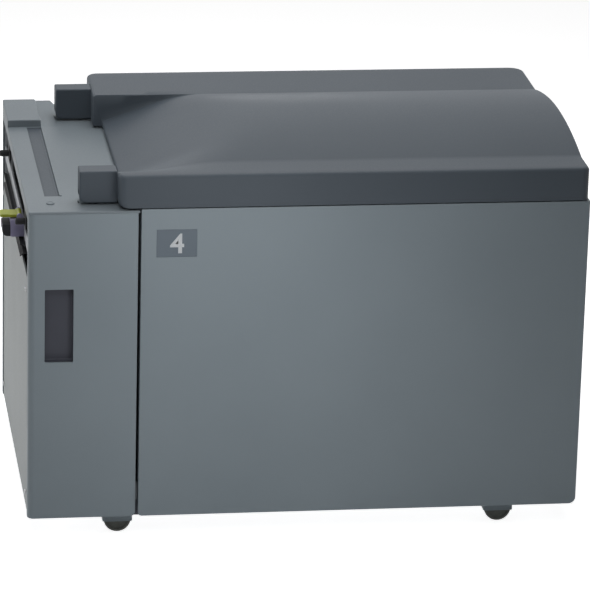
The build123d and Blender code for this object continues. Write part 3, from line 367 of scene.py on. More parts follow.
# Lid: a flat band at the front and at the back, a crown between them, and a slope down to a thin edge on the left.
# Each wall profile is pairs of a distance and the share of the slope that shows there.
lid = {"x": (154.0, 974.0), "d": (0.0, 640.0), "z": (614.0, 672.0), "crown": 25.0, "frontBand": 76.0,
       "rearBand": 490.0, "edgeX": 171.0, "edgeZ": 622.0, "slopeRun": 140.0, "soften": 16.0, "corner": 14.0,
       "rearCorners": ((154.0, 20.0), (974.0, 27.0)), "edgeRound": 6.0, "thinRound": 2.5, "lowRound": 11.0,
       "thinShare": 0.3, "wall": 3.0,
       "rearWall": ((-2.0, 0.0), (-0.6, 0.05), (0.4, 0.5), (1.4, 0.88), (2.6, 0.96), (5.0, 0.985), (10.0, 1.0)),
       "frontWall": ((-58.0, 0.0), (-50.0, 0.012), (-42.0, 0.047), (-33.0, 0.112), (-23.0, 0.205),
                     (-12.0, 0.318), (0.0, 0.446), (12.0, 0.566), (25.0, 0.686), (38.0, 0.79), (52.0, 0.88),
                     (66.0, 0.945), (80.0, 0.984), (94.0, 1.0)),
       "frontEdge": ((0.0, 0.0), (4.0, 0.25), (9.0, 0.55), (16.0, 0.8), (26.0, 0.95), (40.0, 1.0)),
       "levels": (615.2, 617.0, 619.5, 622.0, 625.0),
       "rows": (122.0, 140.0, 180.0, 203.0, 227.0, 255.0, 283.0, 310.0, 337.0, 363.0, 388.0, 412.0, 433.0,
                450.0, 463.0, 515.0, 565.0, 620.0),
       "columns": (178.0, 190.0, 205.0, 222.0, 240.0, 256.0, 270.0, 282.0, 294.0, 306.0, 318.0, 330.0, 342.0,
                   354.0, 366.0, 378.0, 392.0, 420.0, 480.0, 600.0, 760.0, 920.0, 955.0)}


def shareAt(profile, distance):
    if distance <= profile[0][0]:
        return 0.0
    for (nearEnd, low), (farEnd, high) in zip(profile, profile[1:]):
        if distance <= farEnd:
            return low + (high - low) * (distance - nearEnd) / (farEnd - nearEnd)
    return 1.0


def lidShare(d, front="frontWall"):
    return min(shareAt(lid[front], d - lid["frontBand"]), shareAt(lid["rearWall"], lid["rearBand"] - d))


def lidHeight(x, d):
    across = (d - lid["frontBand"]) / (lid["rearBand"] - lid["frontBand"])
    high = lid["z"][1] + (lid["crown"] * 4 * across * (1 - across) if 0 < across < 1 else 0.0)  # a parabola
    slope = lid["edgeZ"] + (lid["z"][1] - lid["edgeZ"]) / lid["slopeRun"] * (x - lid["edgeX"])
    apart = max(lid["soften"] - abs(high - slope), 0.0) / lid["soften"]
    low = min(high, slope) - apart ** 2 * lid["soften"] / 4  # rounds the crease between slope and crown
    return high - lidShare(d) * (high - low)


piece = startBlock("lidShell", lid["x"], lid["d"], lid["z"])
for cornerX, radius in lid["rearCorners"]:
    pick(piece, "EDGE", lambda edge, x, d, z: runsAlong(edge, axisZ) and near(x, cornerX) and near(d, lid["d"][1]))
    bevelPicked(radius, steps=8)
pick(piece, "EDGE", lambda edge, x, d, z: runsAlong(edge, axisZ) and near(d, lid["d"][0]))
bevelPicked(lid["corner"], steps=6)
wallRows = [lid["frontBand"] + step for step, share in (*lid["frontWall"], *lid["frontEdge"][1:])]
wallRows += [lid["rearBand"] - step for step, share in lid["rearWall"]]
cutAcross(piece, axisD, sorted([*lid["rows"], *wallRows]))
cutAcross(piece, axisX, lid["columns"])
cutAcross(piece, axisZ, lid["levels"])
mesh = bmesh.from_edit_mesh(piece.data)
for corner in mesh.verts:
    x, d, z = drawn(corner.co)
    if near(x, lid["x"][0]):
        x += (lid["edgeX"] - lid["x"][0]) * lidShare(d, "frontEdge")
    if z < lid["z"][1] - shortOf:
        low = max(1 - (z - lid["z"][0]) / lid["lowRound"], 0.0) if d < lid["frontBand"] + shortOf else 0.0
        z = lid["z"][0] + (z - lid["z"][0]) * (1 - lidShare(d) * (1 - lid["thinShare"]))
        beside = max(1 - (x - lid["x"][0]) / (lid["columns"][0] - lid["x"][0]), 0.0)
        x += lid["lowRound"] * (1 - math.sqrt(1 - low ** 2)) * (1 - lidShare(d, "frontEdge")) * min(beside, 1.0)
    if near(z, lid["z"][1]):
        z = lidHeight(x, d)
    corner.co = at(x, d, z)
bmesh.update_edit_mesh(piece.data)
pick(piece, "EDGE", lambda edge, x, d, z: z > lid["z"][1] - 0.1 and not runsAlong(edge, axisZ)
     and besideWall(edge, axisZ, slack=0.05) and any(facing(face, axisZ, share=0.5) for face in edge.link_faces))
bevelPicked(lid["edgeRound"], steps=4)
pick(piece, "EDGE", lambda edge, x, d, z: near(x, lid["edgeX"]) and z > lid["z"][0] + 5 and runsAlong(edge, axisD))
bevelPicked(lid["thinRound"], steps=3)
hollowOut(piece, lid["wall"], lambda face, x, d, z: facing(face, axisZ, -1))
finishPiece(piece, "lid_grey", "lid", "lid_shell", flat=False)
print("lid shaped")

# Hinge arms: solid moulded blocks at the lid's left end, rounded below, each slotted for the fixed tongue.
arms = {"x": (90.0, 154.0), "fronts": (36.0, 538.0), "width": 38.0, "z": (613.5, 670.0), "lowRound": 11.5,
        "edgeRound": 2.5, "slotX": (89.0, 103.5), "slotHalf": 8.0, "slotZ": (612.0, 632.5)}
firstArm, secondArm = arms["fronts"]
piece = startBlock("hingeArms", arms["x"], (firstArm, firstArm + arms["width"]), arms["z"])
pick(piece, "EDGE", lambda edge, x, d, z: runsAlong(edge, axisD) and near(x, arms["x"][0])
     and near(z, arms["z"][0]))
bevelPicked(arms["lowRound"], steps=6)
pick(piece, "EDGE", lambda edge, x, d, z: x < arms["x"][1] - shortOf
     and not (runsAlong(edge, axisD) and z < arms["z"][1] - shortOf)
     and len({round(face.normal[axis], 2) for face in edge.link_faces for axis in (axisX, axisZ)}) > 1)
bevelPicked(arms["edgeRound"], steps=3)
carve(piece, startBlock("slotCutter", arms["slotX"], spanAt(firstArm + arms["width"] / 2, arms["slotHalf"]),
                        arms["slotZ"]))
piece = joinAll("hingeArms", [piece, copyTo(piece, "rearArm", (0, secondArm - firstArm, 0))])
finishPiece(piece, "lid_grey", "lid", "hinge_arms")
print("hinge arms shaped")

# Front panel: one moulded cover with a soft right edge, and a shallow recess for the badge.
panel = {"x": (194.0, 976.0), "d": (0.0, 25.0), "z": (47.0, 612.0), "rightRound": 14.0, "lowRound": 12.0,
         "seamRound": 6.0, "edgeRound": 2.5, "wall": 3.0, "badgeX": (220.0, 290.0), "badgeZ": (525.0, 575.0),
         "recess": 1.0}
piece = startBlock("frontPanel", panel["x"], panel["d"], panel["z"])
for side, radius, steps in ((1, panel["lowRound"], 6), (0, panel["seamRound"], 4)):
    pick(piece, "EDGE", lambda edge, x, d, z: runsAlong(edge, axisD) and near(x, panel["x"][side])
         and near(z, panel["z"][0]))
    bevelPicked(radius, steps)
pick(piece, "EDGE", lambda edge, x, d, z: runsAlong(edge, axisZ) and near(x, panel["x"][1]) and near(d, 0))
bevelPicked(panel["rightRound"], steps=8)
pick(piece, "EDGE", lambda edge, x, d, z: near(d, 0) and x < panel["x"][1] - panel["rightRound"] - shortOf
     and besideWall(edge, axisD))
bevelPicked(panel["edgeRound"], steps=3)
openBack(piece, panel["d"][1], panel["wall"], panel["x"][1] - panel["wall"], panel["rightRound"] - panel["wall"])
cutAcross(piece, axisX, panel["badgeX"])
cutAcross(piece, axisZ, panel["badgeZ"])
pick(piece, "FACE", lambda face, x, d, z: near(d, 0) and facing(face, axisD, -1)
     and panel["badgeX"][0] < x < panel["badgeX"][1] and panel["badgeZ"][0] < z < panel["badgeZ"][1])
pushPicked(d=panel["recess"])
finishPiece(piece, "panel_grey", "chassis", "front_panel")

# Badge: a thin inlay with a printed numeral, which stands a hair proud so that it has its own edge.
badge = {"x": (220.15, 289.85), "d": (0.35, 1.0), "z": (525.15, 574.85), "edgeRound": 0.3, "numeral": "4",
         "size": 49.0, "fatten": 0.9, "numeralAt": (255.5, 0.3, 549.5), "numeralDeep": 0.35}
piece = startBlock("badgePlate", badge["x"], badge["d"], badge["z"])
pick(piece, "EDGE", lambda edge, x, d, z: near(d, badge["d"][0]))
bevelPicked(badge["edgeRound"], steps=2)
finishPiece(piece, "badge_grey", "chassis", "badge_plate")
chooseOnly()
bpy.ops.object.text_add()
piece = bpy.context.object
piece.data.body = badge["numeral"]
piece.data.size = badge["size"] / 1000
piece.data.offset = badge["fatten"] / 1000
piece.data.extrude = badge["numeralDeep"] / 2000  # half of it goes each way
piece.data.align_x = "CENTER"
piece.data.align_y = "CENTER"
bpy.ops.object.convert(target="MESH")
piece = bpy.context.object
piece.name = piece.data.name = "badgeNumeral"
low, high = [Vector([end(corner[i] for corner in piece.bound_box) for i in range(3)]) for end in (min, max)]
piece.data.transform(Matrix.Translation(at(*badge["numeralAt"])) @ Matrix.Rotation(math.radians(90), 4, "X")
                     @ Matrix.Translation(-(low + high) / 2))
finishPiece(piece, "light_plastic", "chassis")
print("front panel and badge shaped")

# Feed section door: its left edge is well rounded, and a pocket for the fingers is cut through the skin.
# Notches behind the skin at its right edge leave room for the arms of the two brackets that carry it.
door = {"x": (0.0, 188.5), "d": (0.0, 22.0), "z": (47.0, 605.7), "leftRound": 12.0, "seamRound": 8.0,
        "edgeRound": 2.5, "wall": 3.0, "pocketX": (28.5, 78.0), "pocketD": (-3.0, 8.0), "pocketZ": (337.0, 470.0),
        "pocketRound": 2.0, "notchX": (182.5, 191.5), "notchD": (3.0, 25.0),
        "notchesZ": ((49.5, 61.5), (591.2, 603.2))}
piece = startBlock("doorPanel", door["x"], door["d"], door["z"])
pick(piece, "EDGE", lambda edge, x, d, z: runsAlong(edge, axisZ) and near(x, 0) and near(d, 0))
bevelPicked(door["leftRound"], steps=8)
pick(piece, "EDGE", lambda edge, x, d, z: runsAlong(edge, axisD) and near(x, door["x"][1])
     and near(z, door["z"][0]))
bevelPicked(door["seamRound"], steps=4)
pick(piece, "EDGE", lambda edge, x, d, z: near(d, 0) and x > door["leftRound"] + shortOf
     and besideWall(edge, axisD))
bevelPicked(door["edgeRound"], steps=3)
openBack(piece, door["d"][1], door["wall"], door["x"][0] + door["wall"], door["leftRound"] - door["wall"])
pocketCut = startBlock("pocketCutter", door["pocketX"], door["pocketD"], door["pocketZ"])
pick(pocketCut, "EDGE", lambda edge, x, d, z: runsAlong(edge, axisD))
bevelPicked(door["pocketRound"], steps=3)
carve(piece, pocketCut)
for notchZ in door["notchesZ"]:
    carve(piece, startBlock("notchCutter", door["notchX"], door["notchD"], notchZ))
finishPiece(piece, "panel_grey", "door", "left_door")

# Door pull: a moulded cup with a rounded floor, set into the pocket from behind.
pull = {"x": (18.5, 80.0), "d": (3.0, 17.0), "z": (335.0, 472.0), "wall": 2.0, "depth": 12.0, "innerRound": 3.0}
piece = startBlock("doorPull", pull["x"], pull["d"], pull["z"])
pick(piece, "FACE", lambda face, x, d, z: facing(face, axisD, -1))
insetPicked(pull["wall"])
pushPicked(d=pull["depth"])
pick(piece, "EDGE", lambda edge, x, d, z: near(d, pull["d"][0] + pull["depth"]))
bevelPicked(pull["innerRound"], steps=4)
finishPiece(piece, "dark_plastic", "door", "door_pull")
print("door and pull shaped")

# Top cover of the feed section: a moulded tray with a long groove, a low ridge beside it, and at the back a raised
# pad and a ramp next to it that climbs towards the rear. Holes take the button and the hinge tongues.
cover = {"x": (0.0, 191.25), "d": (0.0, 640.0), "z": (590.0, 610.0), "wall": 3.0, "edgeRound": 3.0,
         "stepRound": 2.0, "stepLeast": 3.0, "grooveX": (34.0, 60.0), "grooveD": (89.0, 500.0), "grooveDeep": 2.5,
         "padX": (0.0, 60.0), "padD": (505.0, 640.0), "padHigh": 13.0, "ridgeX": 64.0, "ridgeHigh": 1.3,
         "rampX": (87.0, 98.0), "rampHigh": 10.5, "buttonAt": (41.0, 48.0), "buttonRadius": 7.3, "buttonCut": 30.0,
         "doorCut": ((-3.0, 195.0), (-3.0, 24.5), (585.0, 606.0)), "slotX": (88.5, 103.5), "slotHalf": 7.0,
         "slotsD": (55.0, 557.0), "slotZ": (603.0, 613.0)}
piece = startBlock("topCover", cover["x"], cover["d"], cover["z"])
pick(piece, "EDGE", lambda edge, x, d, z: runsAlong(edge, axisZ) and near(x, 0))
bevelPicked(cover["edgeRound"], steps=4)
cutAcross(piece, axisX, (*cover["grooveX"], cover["ridgeX"], *cover["rampX"]))
cutAcross(piece, axisD, (cover["grooveD"][0], cover["grooveD"][1], cover["padD"][0]))
pick(piece, "FACE", lambda face, x, d, z: facing(face, axisZ) and cover["grooveX"][0] < x < cover["grooveX"][1]
     and cover["grooveD"][0] < d < cover["grooveD"][1])
pushPicked(z=-cover["grooveDeep"])
pick(piece, "FACE", lambda face, x, d, z: facing(face, axisZ) and cover["grooveX"][1] < x < cover["ridgeX"]
     and cover["grooveD"][0] < d < cover["padD"][0])
pushPicked(z=cover["ridgeHigh"])
pick(piece, "FACE", lambda face, x, d, z: facing(face, axisZ) and x < cover["padX"][1] and d > cover["padD"][0])
pushPicked(z=cover["padHigh"])
topZ, padZ = cover["z"][1], cover["z"][1] + cover["padHigh"]
lowWall = cover["stepLeast"] / 1000
pick(piece, "EDGE", lambda edge, x, d, z: near(z, topZ, padZ) and len(edge.link_faces) == 2
     and sum(facing(face, axisZ) for face in edge.link_faces) == 1 and not near(x, cover["x"][1])
     and any(face.calc_center_median().z < edge.verts[0].co.z - lowWall for face in edge.link_faces))
bevelPicked(cover["stepRound"], steps=3)
mesh = bmesh.from_edit_mesh(piece.data)
for corner in mesh.verts:
    x, d, z = drawn(corner.co)
    between = cover["padX"][1] - 0.05 < x < cover["rampX"][0] + 0.05 and topZ - cover["stepLeast"] < z < topZ + 0.05
    if between and d > cover["padD"][0]:
        rise = cover["rampHigh"] * (d - cover["padD"][0]) / (cover["padD"][1] - cover["padD"][0])
        corner.co = at(x, d, z + rise)
bmesh.update_edit_mesh(piece.data)
hollowOut(piece, cover["wall"], lambda face, x, d, z: facing(face, axisZ, -1)
          or facing(face, axisX) and near(x, cover["x"][1]))
carve(piece, startRound("buttonCutter", axisZ, (*cover["buttonAt"], topZ), cover["buttonRadius"],
                        cover["buttonCut"], sides=40))
carve(piece, startBlock("doorRoomCutter", *cover["doorCut"]))
for middle in cover["slotsD"]:
    carve(piece, startBlock("tongueCutter", cover["slotX"], spanAt(middle, cover["slotHalf"]), cover["slotZ"]))
finishPiece(piece, "cover_grey", "chassis", "left_top_cover")

# Groove lining: a dark strip with a raised bead along each side, laid into the top cover's groove. Its dark tone is
# painted shade, standing in for the shade that falls in the groove.
shadeLining = {"x": (34.1, 59.9), "d": (89.1, 499.9), "z": (607.5, 608.5), "edgeRound": 0.4,
          "beads": ((37.0, 39.0), (55.0, 57.0)), "beadHigh": 0.5}
piece = startBlock("grooveLining", shadeLining["x"], shadeLining["d"], shadeLining["z"])
pick(piece, "EDGE", lambda edge, x, d, z: near(z, shadeLining["z"][1]))
bevelPicked(shadeLining["edgeRound"], steps=2)
cutAcross(piece, axisX, [side for bead in shadeLining["beads"] for side in bead])
pick(piece, "FACE", lambda face, x, d, z: facing(face, axisZ) and near(z, shadeLining["z"][1])
     and any(low < x < high for low, high in shadeLining["beads"]))
pushPicked(z=shadeLining["beadHigh"])
# The dark lid grey on this strip is painted shade in the groove.
finishPiece(piece, "lid_grey", "chassis")

# Tray button: a low round key with a dished top, in the cover's own colour.
button = {"centre": (41.0, 48.0, 606.5), "radius": 7.0, "length": 11.0, "edgeRound": 0.8, "dishIn": 1.6,
          "dishDeep": 0.5}
piece = startRound("trayButton", axisZ, button["centre"], button["radius"], button["length"], sides=48)
topOfButton = button["centre"][2] + button["length"] / 2
pick(piece, "FACE", lambda face, x, d, z: near(z, topOfButton))
insetPicked(button["dishIn"])
pushPicked(z=-button["dishDeep"])
pick(piece, "EDGE", lambda edge, x, d, z: all(near(corner.co.z * 1000, topOfButton) for corner in edge.verts)
     and math.hypot(x - button["centre"][0], d - button["centre"][1]) > button["radius"] - 0.5)
bevelPicked(button["edgeRound"], steps=3)
finishPiece(piece, "cover_grey", "tray_button", "tray_button")

# Hinge tongues: a slim stem with a round head stands through the cover into each arm, and the pin runs across it.
tongue = {"x": (91.5, 100.5), "middles": (55.0, 557.0), "half": 6.0, "z": (604.5, 629.5), "headRound": 4.4,
          "edgeRound": 0.6, "footX": (83.5, 108.5), "footHalf": 12.0, "footZ": (601.5, 604.5), "footRound": 2.0,
          "pinX": 96.0, "pinZ": 625.0, "pinRadius": 3.5, "pinLong": 18.0}
stems = []
for middle in tongue["middles"]:
    sides = spanAt(middle, tongue["half"])
    stem = startBlock("tongueStem", tongue["x"], sides, tongue["z"])
    pick(stem, "EDGE", lambda edge, x, d, z: runsAlong(edge, axisD) and near(z, tongue["z"][1]))
    bevelPicked(tongue["headRound"], steps=6)
    pick(stem, "EDGE", lambda edge, x, d, z: near(d, *sides) and not near(z, tongue["z"][0]))
    bevelPicked(tongue["edgeRound"], steps=2)
    foot = startBlock("tongueFoot", tongue["footX"], spanAt(middle, tongue["footHalf"]), tongue["footZ"])
    pick(foot, "EDGE", lambda edge, x, d, z: runsAlong(edge, axisZ))
    bevelPicked(tongue["footRound"], steps=3)
    pin = startRound("hingePin", axisD, (tongue["pinX"], middle, tongue["pinZ"]), tongue["pinRadius"],
                     tongue["pinLong"], sides=32)
    pick(pin, "EDGE", lambda edge, x, d, z: not runsAlong(edge, axisD))
    bevelPicked(tongue["edgeRound"], steps=2)
    stems += [stem, foot, pin]
finishPiece(joinAll("hingeTongues", stems), "cover_grey", "chassis", "hinge_brackets")
print("top cover, groove lining, button and tongues shaped")

# Docking hook, catch and lever on the printer's side, with moulded edges. The lever is ribbed for the thumb.
docking = {"hookX": (-34.0, -20.0), "hookD": (150.0, 190.0), "hookZ": (518.6, 540.6), "hookSlope": 8.0,
           "soft": 1.4, "catchX": (-20.0, 3.0), "catchD": (147.0, 193.0), "catchZ": (518.3, 549.3),
           "earsD": ((150.5, 154.5), (185.5, 189.5)), "earRoot": 3.0, "earRound": 4.9, "pivot": (-4.0, 554.3),
           "hub": 5.0, "leverX": (-38.0, -4.0), "leverD": (155.0, 185.0), "leverZ": (551.8, 556.8),
           "tipRound": 5.0, "leverSoft": 0.7, "ribHigh": 0.7,
           "ribsX": ((-34.5, -33.0), (-31.5, -30.0), (-28.5, -27.0), (-25.5, -24.0))}
pivotX, pivotZ = docking["pivot"]
hubTop = pivotZ + docking["hub"]
piece = startBlock("dockingHook", docking["hookX"], docking["hookD"], docking["hookZ"])
pick(piece, "EDGE", lambda edge, x, d, z: runsAlong(edge, axisD) and near(x, docking["hookX"][0])
     and near(z, docking["hookZ"][0]))
bevelPicked(docking["hookSlope"], steps=3)
pick(piece, "EDGE", lambda edge, x, d, z: x < docking["hookX"][1] - shortOf and len(edge.link_faces) == 2
     and edge.link_faces[0].normal.angle(edge.link_faces[1].normal) > 1.2)  # square edges only, in radians
bevelPicked(docking["soft"], steps=3)
finishPiece(piece, "black_plastic", "chassis", "docking_hook")
piece = startBlock("dockingCatch", docking["catchX"], docking["catchD"], docking["catchZ"])
pick(piece, "EDGE", lambda edge, x, d, z: x < docking["catchX"][1] - shortOf)
bevelPicked(docking["soft"], steps=3)
ears = []
for earD in docking["earsD"]:
    ear = startBlock("catchEar", spanAt(pivotX, docking["hub"]), earD,
                     (docking["catchZ"][1] - docking["earRoot"], hubTop))
    pick(ear, "EDGE", lambda edge, x, d, z: runsAlong(edge, axisD) and near(z, hubTop))
    bevelPicked(docking["earRound"], steps=6)
    ears.append(ear)
finishPiece(joinAll("dockingCatch", [piece, *ears]), "catch_violet", "chassis", "docking_catch")
piece = startBlock("releaseLever", docking["leverX"], docking["leverD"], docking["leverZ"])
pick(piece, "EDGE", lambda edge, x, d, z: runsAlong(edge, axisZ) and near(x, docking["leverX"][0]))
bevelPicked(docking["tipRound"], steps=5)
pick(piece, "EDGE", lambda edge, x, d, z: x < docking["leverX"][1] - shortOf and near(z, *docking["leverZ"]))
bevelPicked(docking["leverSoft"], steps=2)
cutAcross(piece, axisX, [side for rib in docking["ribsX"] for side in rib])
pick(piece, "FACE", lambda face, x, d, z: facing(face, axisZ)
     and any(low < x < high for low, high in docking["ribsX"]))
pushPicked(z=docking["ribHigh"])
hub = startRound("leverHub", axisD, (pivotX, sum(docking["leverD"]) / 2, pivotZ), docking["hub"],
                 docking["leverD"][1] - docking["leverD"][0], sides=32)
pick(hub, "EDGE", lambda edge, x, d, z: not runsAlong(edge, axisD))
bevelPicked(docking["leverSoft"], steps=2)
finishPiece(joinAll("releaseLever", [piece, hub]), "lever_green", "release_lever", "release_lever")

# Locating pins: a turned pin with a tapered nose on a plate that hangs from the top frame.
locating = {"inD": (120.0, 520.0), "plateHalf": 17.0, "plateX": (3.0, 6.0), "plateZ": (544.0, 604.5),
            "plateRound": 8.0, "x": (-14.0, 3.0), "z": 556.0, "radius": 6.0, "nose": 2.5}
noseX = leftX * 1000 + locating["x"][0]
pins = []
for middle in locating["inD"]:
    plate = startBlock("pinPlate", locating["plateX"], spanAt(middle, locating["plateHalf"]), locating["plateZ"])
    pick(plate, "EDGE", lambda edge, x, d, z: runsAlong(edge, axisX) and z < locating["z"])
    bevelPicked(locating["plateRound"], steps=5)
    pin = startRound("pinShank", axisX, (sum(locating["x"]) / 2, middle, locating["z"]), locating["radius"],
                     locating["x"][1] - locating["x"][0], sides=40)
    pick(pin, "EDGE", lambda edge, x, d, z: all(near(corner.co.x * 1000, noseX) for corner in edge.verts))
    bevelPicked(locating["nose"], steps=4)
    pins += [plate, pin]
finishPiece(joinAll("locatingPins", pins), "black_plastic", "chassis", "docking_pins")
print("docking side shaped")

# Seam seal: a flap that hangs from the base pan behind the foot of the seam between door and panel.
seal = {"x": (181.5, 206.0), "d": (25.6, 28.6), "z": (38.6, 72.0), "lipRound": 3.0, "edgeRound": 0.8}
piece = startBlock("seamSeal", seal["x"], seal["d"], seal["z"])
pick(piece, "EDGE", lambda edge, x, d, z: runsAlong(edge, axisD) and near(z, seal["z"][0]))
bevelPicked(seal["lipRound"], steps=4)
pick(piece, "EDGE", lambda edge, x, d, z: near(d, *seal["d"]) and z < seal["z"][1] - shortOf)
bevelPicked(seal["edgeRound"], steps=2)
finishPiece(piece, "dark_plastic", "chassis")

# Rim end cap: a moulded plug that closes the rim's hollow rear lip at its right end.
rimCap = {"x": (966.0, 972.5), "d": (626.0, 636.7), "z": (588.6, 605.8), "edgeRound": 0.8, "frame": 2.0,
          "dish": 1.0}
piece = startBlock("rimEndCap", rimCap["x"], rimCap["d"], rimCap["z"])
pick(piece, "EDGE", lambda edge, x, d, z: near(x, rimCap["x"][1]))
bevelPicked(rimCap["edgeRound"], steps=3)
pick(piece, "FACE", lambda face, x, d, z: near(x, rimCap["x"][1]))
insetPicked(rimCap["frame"])
pushPicked(x=-rimCap["dish"])
finishPiece(piece, "dark_plastic", "chassis")

# Casters: a pressed hood in the body's colour over a moulded wheel with a hollowed face and a hub cap.
# The first is shaped at the front left, and the others are its copies.
caster = {"axle": (162.0, 54.0, 24.0), "swivel": (146.0, 54.0), "hoodRadius": 26.4, "hoodWide": 27.0,
          "hoodLow": 21.0, "hoodWall": 1.6, "hoodRound": 4.0, "neckRadius": 10.0, "neckZ": (46.0, 59.4),
          "neckRound": 1.5, "wheelRadius": 24.0, "wheelWide": 20.0, "treadRound": 3.0, "tyre": 5.0,
          "faceDeep": 2.0, "hubIn": 9.0, "hubOut": 2.4,
          "places": {"front_left": (0.0, 0.0), "front_right": (683.0, 0.0), "rear_left": (0.0, 532.0),
                     "rear_right": (683.0, 532.0)}}
hood = startRound("casterHood", axisD, caster["axle"], caster["hoodRadius"], caster["hoodWide"], sides=64)
pick(hood, "EDGE", lambda edge, x, d, z: not runsAlong(edge, axisD))
bevelPicked(caster["hoodRound"], steps=4)
pick(hood, "FACE", lambda face, x, d, z: True)
bpy.ops.mesh.bisect(plane_co=at(0, 0, caster["hoodLow"]), plane_no=(0, 0, 1), use_fill=True, clear_inner=True)
hollowOut(hood, caster["hoodWall"], lambda face, x, d, z: facing(face, axisZ, -1) and near(z, caster["hoodLow"]))
neckLow, neckTop = caster["neckZ"]
neck = startRound("hoodNeck", axisZ, (*caster["swivel"], (neckLow + neckTop) / 2), caster["neckRadius"],
                  neckTop - neckLow, sides=40)
pick(neck, "EDGE", lambda edge, x, d, z: not runsAlong(edge, axisZ) and z > neckLow + 5)
bevelPicked(caster["neckRound"], steps=3)
hood = joinAll("casterHood", [hood, neck])
wheel = startRound("casterWheel", axisD, caster["axle"], caster["wheelRadius"], caster["wheelWide"], sides=64)
pick(wheel, "EDGE", lambda edge, x, d, z: not runsAlong(edge, axisD))
bevelPicked(caster["treadRound"], steps=4)
for inset, depth in ((caster["tyre"] - caster["treadRound"], caster["faceDeep"]),
                     (caster["hubIn"], -caster["hubOut"])):
    for side in (-1, 1):
        pick(wheel, "FACE", lambda face, x, d, z: facing(face, axisD, side) and near(x, caster["axle"][0])
             and near(z, caster["axle"][2]))
        insetPicked(inset)
        pushPicked(d=-side * depth)
for place, (alongX, alongD) in caster["places"].items():
    corner = "".join(part.capitalize() for part in place.split("_"))
    for piece, word, slot, node in ((hood, "Hood", "panel_grey", "fork_"),
                                    (wheel, "Wheel", "wheel_rubber", "wheel_")):
        twin = copyTo(piece, "caster" + word + corner, (alongX, alongD, 0.0))
        finishPiece(twin, slot, node + place, node + place)
for piece in (hood, wheel):
    bpy.data.objects.remove(piece, do_unlink=True)
print("casters shaped")

# Lid liner: a moulded plate with three sunk fields, seen when the lid is up.
liner = {"x": (174.3, 970.7), "d": (3.3, 636.7), "z": (615.5, 617.5), "corner": 24.0, "splits": (430.0, 710.0),
         "margin": 16.0, "sunk": 0.9}
piece = startBlock("lidLiner", liner["x"], liner["d"], liner["z"])
pick(piece, "EDGE", lambda edge, x, d, z: runsAlong(edge, axisZ))
bevelPicked(liner["corner"], steps=6)
cutAcross(piece, axisX, liner["splits"])
for low, high in zip((liner["x"][0], *liner["splits"]), (*liner["splits"], liner["x"][1])):
    pick(piece, "FACE", lambda face, x, d, z: facing(face, axisZ, -1) and near(z, liner["z"][0])
         and low < x < high)
    insetPicked(liner["margin"])
    pushPicked(z=liner["sunk"])
finishPiece(piece, "dark_plastic", "lid", "lid_liner")

# Side plate screws: pan heads with a cross recess, one in each corner of the plate.
sideScrew = {"places": ((52.0, 78.0), (598.0, 78.0), (52.0, 455.0), (598.0, 455.0)), "radius": 4.5, "head": 2.0,
             "edgeRound": 1.1, "crossLong": 5.0, "crossWide": 1.2, "crossDeep": 1.0, "cutterPast": 1.0}
headX, crossHalves = -sideScrew["head"], (sideScrew["crossLong"] / 2, sideScrew["crossWide"] / 2)
heads = []
for alongD, height in sideScrew["places"]:
    head = startRound("sideScrew", axisX, (headX / 2, alongD, height), sideScrew["radius"], sideScrew["head"],
                      sides=32)
    pick(head, "EDGE", lambda edge, x, d, z: not runsAlong(edge, axisX) and x < headX / 2)
    bevelPicked(sideScrew["edgeRound"], steps=3)
    for halfD, halfZ in (crossHalves, crossHalves[::-1]):
        carve(head, startBlock("crossCutter", (headX - sideScrew["cutterPast"], headX + sideScrew["crossDeep"]),
                               spanAt(alongD, halfD), spanAt(height, halfZ)))
    heads.append(head)
finishPiece(joinAll("sidePlateScrews", heads), "steel", "chassis")
print("liner and side screws shaped")


# What the camera sees, straight, through glass or in a gloss, is one look, and what lights the object is another.
def splitBySight(tree, output, lighting, seen):
    rays = addNode(tree, "ShaderNodeLightPath", {}, {})
    seenOrSent = addNode(tree, "ShaderNodeMath", {"operation": "MAXIMUM"},
                         {0: rays.outputs["Is Camera Ray"], 1: rays.outputs["Is Transmission Ray"]})
    anySeen = addNode(tree, "ShaderNodeMath", {"operation": "MAXIMUM"},
                      {0: seenOrSent.outputs[0], 1: rays.outputs["Is Glossy Ray"]})
    choice = addNode(tree, "ShaderNodeMixShader", {}, {0: anySeen.outputs[0], 1: lighting, 2: seen})
    tree.links.new(choice.outputs[0], tree.nodes[output].inputs["Surface"])


# Floor and backdrop show as plain white, and light reaches the object as from a mid-grey room.
stageSettings = {"floor": 30.0, "floorHex": "#f2f2f2", "roomHex": "#b9bbbd", "roomStrength": 0.05, "glow": 0.86}
white = (1.0, 1.0, 1.0, 1.0)
chooseOnly()
bpy.ops.mesh.primitive_plane_add(size=stageSettings["floor"], location=(0, 0, 0))
floor = bpy.context.object
floor.name = "studioFloor"
floorMaterial = bpy.data.materials.new("paintedFloor")
floorMaterial.use_nodes = True
tree = floorMaterial.node_tree
tree.nodes.remove(tree.nodes["Principled BSDF"])
paint = addNode(tree, "ShaderNodeBsdfDiffuse", {}, {"Color": toLinear(stageSettings["floorHex"])})
glow = addNode(tree, "ShaderNodeEmission", {}, {"Color": white, "Strength": stageSettings["glow"]})
seen = addNode(tree, "ShaderNodeAddShader", {}, {0: paint.outputs[0], 1: glow.outputs[0]})
splitBySight(tree, "Material Output", paint.outputs[0], seen.outputs[0])
floor.data.materials.append(floorMaterial)

world = bpy.data.worlds.new("studioRoom")
bpy.context.scene.world = world
world.use_nodes = True
tree = world.node_tree
room = tree.nodes["Background"]
room.inputs["Color"].default_value = toLinear(stageSettings["roomHex"])
room.inputs["Strength"].default_value = stageSettings["roomStrength"]
backdrop = addNode(tree, "ShaderNodeBackground", {}, {"Color": white, "Strength": 1.0})
splitBySight(tree, "World Output", room.outputs[0], backdrop.outputs[0])

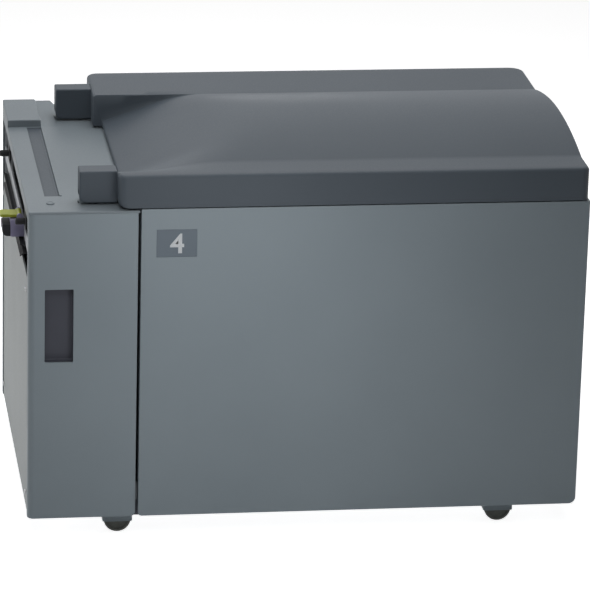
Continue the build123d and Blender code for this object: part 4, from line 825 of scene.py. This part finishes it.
# Square softboxes, in metres and watts. The low and key ones stand near, so that only the front gets their light.
lamps = {
    "lowSoftbox": {"place": (0.0, -1.05, 0.22), "aim": (0.0, -0.32, 0.2), "size": 0.4, "watts": 0.26},
    "keySoftbox": {"place": (-0.1, -0.88, 0.6), "aim": (-0.1, -0.32, 0.46), "size": 0.3, "watts": 1.05},
    "frontSoftbox": {"place": (-0.5, -1.1, 1.35), "aim": (-0.35, -0.25, 0.62), "size": 0.4, "watts": 2.8},
    "topSoftbox": {"place": (-0.1, 0.25, 2.6), "aim": (0.0, 0.1, 0.6), "size": 1.8, "watts": 26.0},
    "backSoftbox": {"place": (-0.3, 2.2, 2.2), "aim": (0.0, 0.2, 0.5), "size": 1.8, "watts": 6.0},
    "rearSoftbox": {"place": (0.2, 2.4, 0.3), "aim": (0.0, 0.3, 0.3), "size": 0.6, "watts": 13.0},
    "leftSoftbox": {"place": (-2.4, 0.5, 0.8), "aim": (-0.4, 0.1, 0.35), "size": 1.2, "watts": 8.0},
    "rightSoftbox": {"place": (2.4, 1.3, 0.8), "aim": (0.4, 0.3, 0.35), "size": 1.2, "watts": 8.0},
}
for name, lamp in lamps.items():
    data = bpy.data.lights.new(name, "AREA")
    data.shape = "SQUARE"
    data.size = lamp["size"]
    data.energy = lamp["watts"]
    light = bpy.data.objects.new(name, data)
    bpy.context.scene.collection.objects.link(light)
    light.visible_camera = False
    light.location = lamp["place"]
    light.rotation_mode = "QUATERNION"
    light.rotation_quaternion = (Vector(lamp["aim"]) - Vector(lamp["place"])).to_track_quat("-Z", "Y")

# Camera: metres, degrees and millimetres of lens, found by fitting the outline's corners to the photograph.
cameraSettings = {"place": (-0.967, -6.874, 2.745), "turn": 8.335, "tilt": 19.107, "roll": 1.507, "lens": 246.6,
                  "sensor": 36.0, "farthest": 100.0}
eye = bpy.data.objects.new("camera", bpy.data.cameras.new("camera"))
bpy.context.scene.collection.objects.link(eye)
eye.data.sensor_width = cameraSettings["sensor"]
eye.data.lens = cameraSettings["lens"]
eye.data.clip_end = cameraSettings["farthest"]
eye.matrix_world = (
    Matrix.Translation(cameraSettings["place"])
    @ Matrix.Rotation(-math.radians(cameraSettings["turn"]), 4, "Z")
    @ Matrix.Rotation(math.radians(90 - cameraSettings["tilt"]), 4, "X")
    @ Matrix.Rotation(math.radians(cameraSettings["roll"]), 4, "Z")
)
bpy.context.scene.camera = eye
bpy.context.scene.view_settings.view_transform = "Standard"
print("lamps and camera placed")
